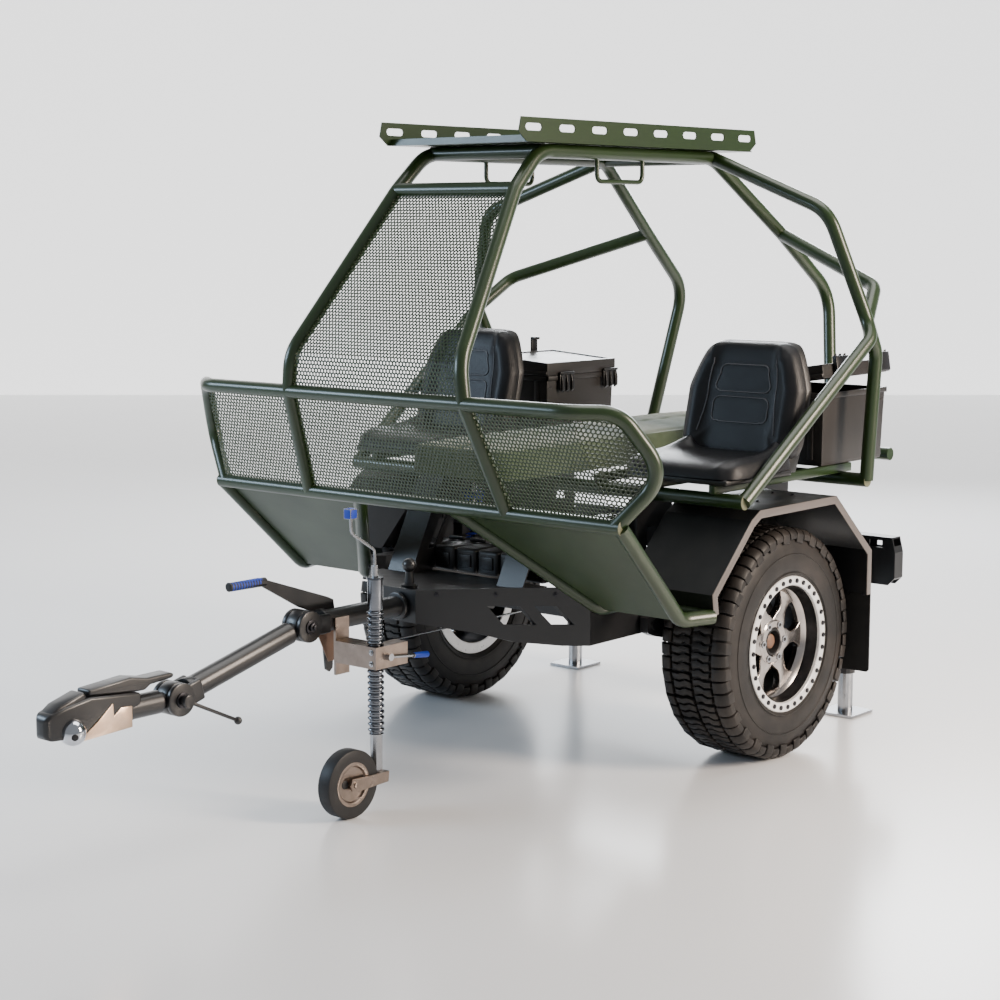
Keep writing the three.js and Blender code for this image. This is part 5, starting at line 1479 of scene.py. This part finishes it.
settle([rod(at(LEVER_X, -2.008, 0.439), at(LEVER_X, -1.830, 0.353), 0.0055, 16),
        ball(at(LEVER_X, -1.826, 0.351), 0.0125, 12),
        rod(at(0.058, KNEE_2.y, KNEE_2.z), at(0.074, KNEE_2.y, KNEE_2.z), 0.020, 32, 0.002)],
       "lock_rod", hitch_paint, "lock", ["lock_lever"])


# %% [markdown]
# The coupler is a pressed hood over a ball cup. Its side view is an outline pushed across, with a
# wide bevel, and its front is then narrowed along a circle so that it ends in a round nose. A chrome
# cup shows on its side, and a handle lies along its top on the handle's own body.

# %% Coupler
TIP = KNEE_2.y - 0.478
HEAD_Z = KNEE_2.z - 0.003
hood = plate([(y + TIP + AXLE.y, z + HEAD_Z) for y, z in (
    (0.000, -0.022), (0.012, -0.034), (0.060, -0.037), (0.150, -0.034), (0.230, -0.008), (0.330, 0.018),
    (0.330, 0.052), (0.150, 0.069), (0.060, 0.055), (0.012, 0.040), (0.000, 0.026))], "x", (-0.038, 0.038),
    0.016, 4)
for vertex in hood.data.vertices:
    along = vertex.co.y - AXLE.y - TIP
    if along < 0.040:
        share = math.sqrt(max(0.0, 1 - ((0.040 - along) / 0.041) ** 2))
        vertex.co.x *= 0.25 + 0.75 * share
shank = tube(places([(0, TIP + 0.270, KNEE_2.z), (0, KNEE_2.y - 0.062, KNEE_2.z)]), BAR, 0, 14)
tongue = [knee_disc(KNEE_2, -TONGUE, TONGUE),
          rod(at(0, KNEE_2.y - 0.085, KNEE_2.z), at(0, KNEE_2.y - 0.020, KNEE_2.z), 0.034, 32, 0.002, 0.0230)]
brow = plate([(y + TIP + AXLE.y, z + HEAD_Z) for y, z in (
    (0.012, 0.036), (0.050, 0.062), (0.134, 0.0870), (0.144, 0.060), (0.060, 0.048))], "x", (-0.031, 0.031),
    0.010, 3)
settle([hood, brow, shank] + tongue, "coupler_hood", hitch_paint, "coupler",
       ["coupler_body"])
cup_centre = at(0.0305, TIP + 0.088, HEAD_Z - 0.020)
cup = ball(cup_centre, 0.0385, 24)
settle([cup], "ball_cup", chrome, "coupler")
eye = rod(cup_centre + Vector((0.030, -0.016, -0.006)), cup_centre + Vector((0.0345, -0.0185, -0.007)),
          0.010, 20)
settle([eye], "cup_eye", black_rubber, "coupler")
side_plate = plate([(y + TIP + AXLE.y, z + HEAD_Z) for y, z in (
    (0.118, -0.050), (0.292, -0.042), (0.292, 0.020), (0.252, 0.022), (0.226, 0.002), (0.224, 0.040),
    (0.168, -0.004), (0.128, -0.030))], "x", (0.0345, 0.041), 0.002)
settle([side_plate], "coupler_side_plate", zinc_warm, "coupler")
handle = plate([(y + TIP + AXLE.y, z + HEAD_Z) for y, z in (
    (0.150, 0.0715), (0.330, 0.0535), (0.352, 0.0535), (0.372, 0.066), (0.452, 0.072), (0.462, 0.080),
    (0.452, 0.089), (0.360, 0.088), (0.300, 0.100), (0.150, 0.0885))], "x", (-0.029, 0.029), 0.007, 3)
settle([handle], "coupler_handle_cover", hitch_paint, "coupler_handle",
       ["coupler_latch"])


# %% [markdown]
# The brake lever is a CAD node; what it lacks is its grip. That is a short blue tube with rings, for
# a firm hold, and a black end. A small bracket below the drawbar belongs to it.

# %% Brake lever
BRAKE_Y = -1.333
grip = tube(places([(-0.050, BRAKE_Y - 0.288, 0.7325), (-0.050, BRAKE_Y - 0.418, 0.7335)]), 0.026, 0, 8)
rings = []
for index in range(11):
    y = BRAKE_Y - 0.296 - 0.011 * index
    rings.append(rod(at(-0.050, y, 0.7326), at(-0.050, y - 0.006, 0.7326), 0.0141, 24, 0.001))
settle([grip] + rings, "brake_grip", grip_blue, "brake")
settle([rod(at(-0.050, BRAKE_Y - 0.417, 0.7335), at(-0.050, BRAKE_Y - 0.4205, 0.7335), 0.0145, 24)],
       "brake_grip_end", black_rubber, "brake")
bracket = plate([(y + AXLE.y, z) for y, z in (
    (-1.400, 0.540), (-1.290, 0.548), (-1.290, 0.500), (-1.330, 0.440), (-1.352, 0.440))], "x",
    (-0.034, -0.028), 0.002)
settle([bracket], "brake_bracket", bracket_paint, "cart")


# %% [markdown]
# Water would stand in an open tube, so each open end has a plug. A thin disc is all that shows. Its
# pale coat is a painted highlight: the key lamp's light on the plug's outward face, put into its colour.

# %% Caps on the open ends of the tubes
ENDS = [(0.884, -0.351, BEAM_Z), (0.884, 0.423, BEAM_Z), (0.895, LOW_Y, LOW_Z), (0.895, -0.544, FOOT_Z)]
caps = [rod(at(side * (x - 0.0005), y, z), at(side * (x + 0.0025), y, z), 0.0243, 40, 0.001)
        for side in (-1, 1) for x, y, z in ENDS]
# The caps' pale coat is a painted highlight.
settle(caps, "beam_caps", cap_highlight_paint, "cart")


# %% [markdown]
# ## Jack
# The jack's outer tube has a stack of bright ribs. Rings could be stacked on a plain tube, but they
# would meet it in hard corners. A profile with the ribs in a loop is spun once instead. The crank's
# knob and the clamp's grip are blue rubber.

# %% Sleeve, grips and bolts
JACK = at(0.190, -1.362, 0)
ribbed = [(0.243, 0.0200), (0.243, 0.0245)]
RIBS, RIB_STEP = 21, 0.0186
for index in range(RIBS):
    z = 0.247 + index * RIB_STEP
    ribbed += [(z, 0.0208), (z + 0.0030, 0.0208), (z + 0.0048, 0.0240), (z + 0.0072, 0.0262),
               (z + 0.0100, 0.0271), (z + 0.0128, 0.0262), (z + 0.0152, 0.0240), (z + 0.0170, 0.0208)]
ribbed += [(0.642, 0.0240), (0.735, 0.0240), (0.735, 0.0270), (0.741, 0.0265), (0.741, 0.0092),
           (0.720, 0.0092), (0.720, 0.0200)]
sleeve = turned(ribbed, JACK, 40, "Z")
settle([sleeve], "jack_sleeve", jack_steel, "jack", ["jack_tube"], 40)
knob = block((JACK.x - 0.0155, JACK.y - 0.1200, 0.9345), (JACK.x + 0.0155, JACK.y - 0.0885, 0.9675),
             0.005, 3)
settle([knob], "crank_knob", grip_blue, "crank")
lever_tip = at(0.2343, -1.235, 0.4785)
settle([rod(lever_tip, at(0.2343, -1.171, 0.4720), 0.0092, 20, 0.002, 0.0100)], "clamp_grip", grip_blue,
       "jack_lock")
jack_bolts = [bolt(at(0.205, -1.3961, z), (0, -1, 0), 0.010) for z in (0.472, 0.508)]
settle(jack_bolts, "clamp_bolts", zinc, "cart")


# %% [markdown]
# The jockey wheel is small and solid: a rubber tread round a pressed steel hub. Both are profiles
# spun about the axle.

# %% Jockey wheel
wheel_low, wheel_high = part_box("jockey_wheel")
print("jockey wheel in the CAD:", [round(value, 3) for value in wheel_high - wheel_low])
JOCKEY = at(0.190, -1.489, 0.108)
tread = turned([(-0.025, 0.070), (-0.025, 0.104), (-0.0235, 0.1070), (-0.0205, 0.108), (0.0205, 0.108),
                (0.0235, 0.1070), (0.025, 0.104), (0.025, 0.070), (0.018, 0.068), (-0.018, 0.068)],
               JOCKEY, 72)
settle([tread], "jockey_tyre", black_rubber, "jockey", ["jockey_wheel"])
hub = turned([(-0.016, 0.010), (-0.017, 0.054), (-0.0235, 0.058), (-0.0255, 0.064), (-0.0245, 0.0705),
              (0.0245, 0.0705), (0.0255, 0.064), (0.0235, 0.058), (0.017, 0.054), (0.016, 0.010)], JOCKEY, 64)
axle = rod(JOCKEY - Vector((0.040, 0, 0)), JOCKEY + Vector((0.040, 0, 0)), 0.0095, 20)
mark = rod(JOCKEY + Vector((0.0165, -0.030, 0.004)), JOCKEY + Vector((0.0178, -0.030, 0.004)), 0.014, 20)
settle([hub, axle], "jockey_hub", clamp_steel, "jockey")
settle([mark], "jockey_slot", black_rubber, "jockey")
spacer = tube([JOCKEY + Vector((side * 0.0325, 0, 0)) for side in (-1, 1)], 0.018, 0, 4)
settle([spacer], "jockey_spacer", zinc, "castor")
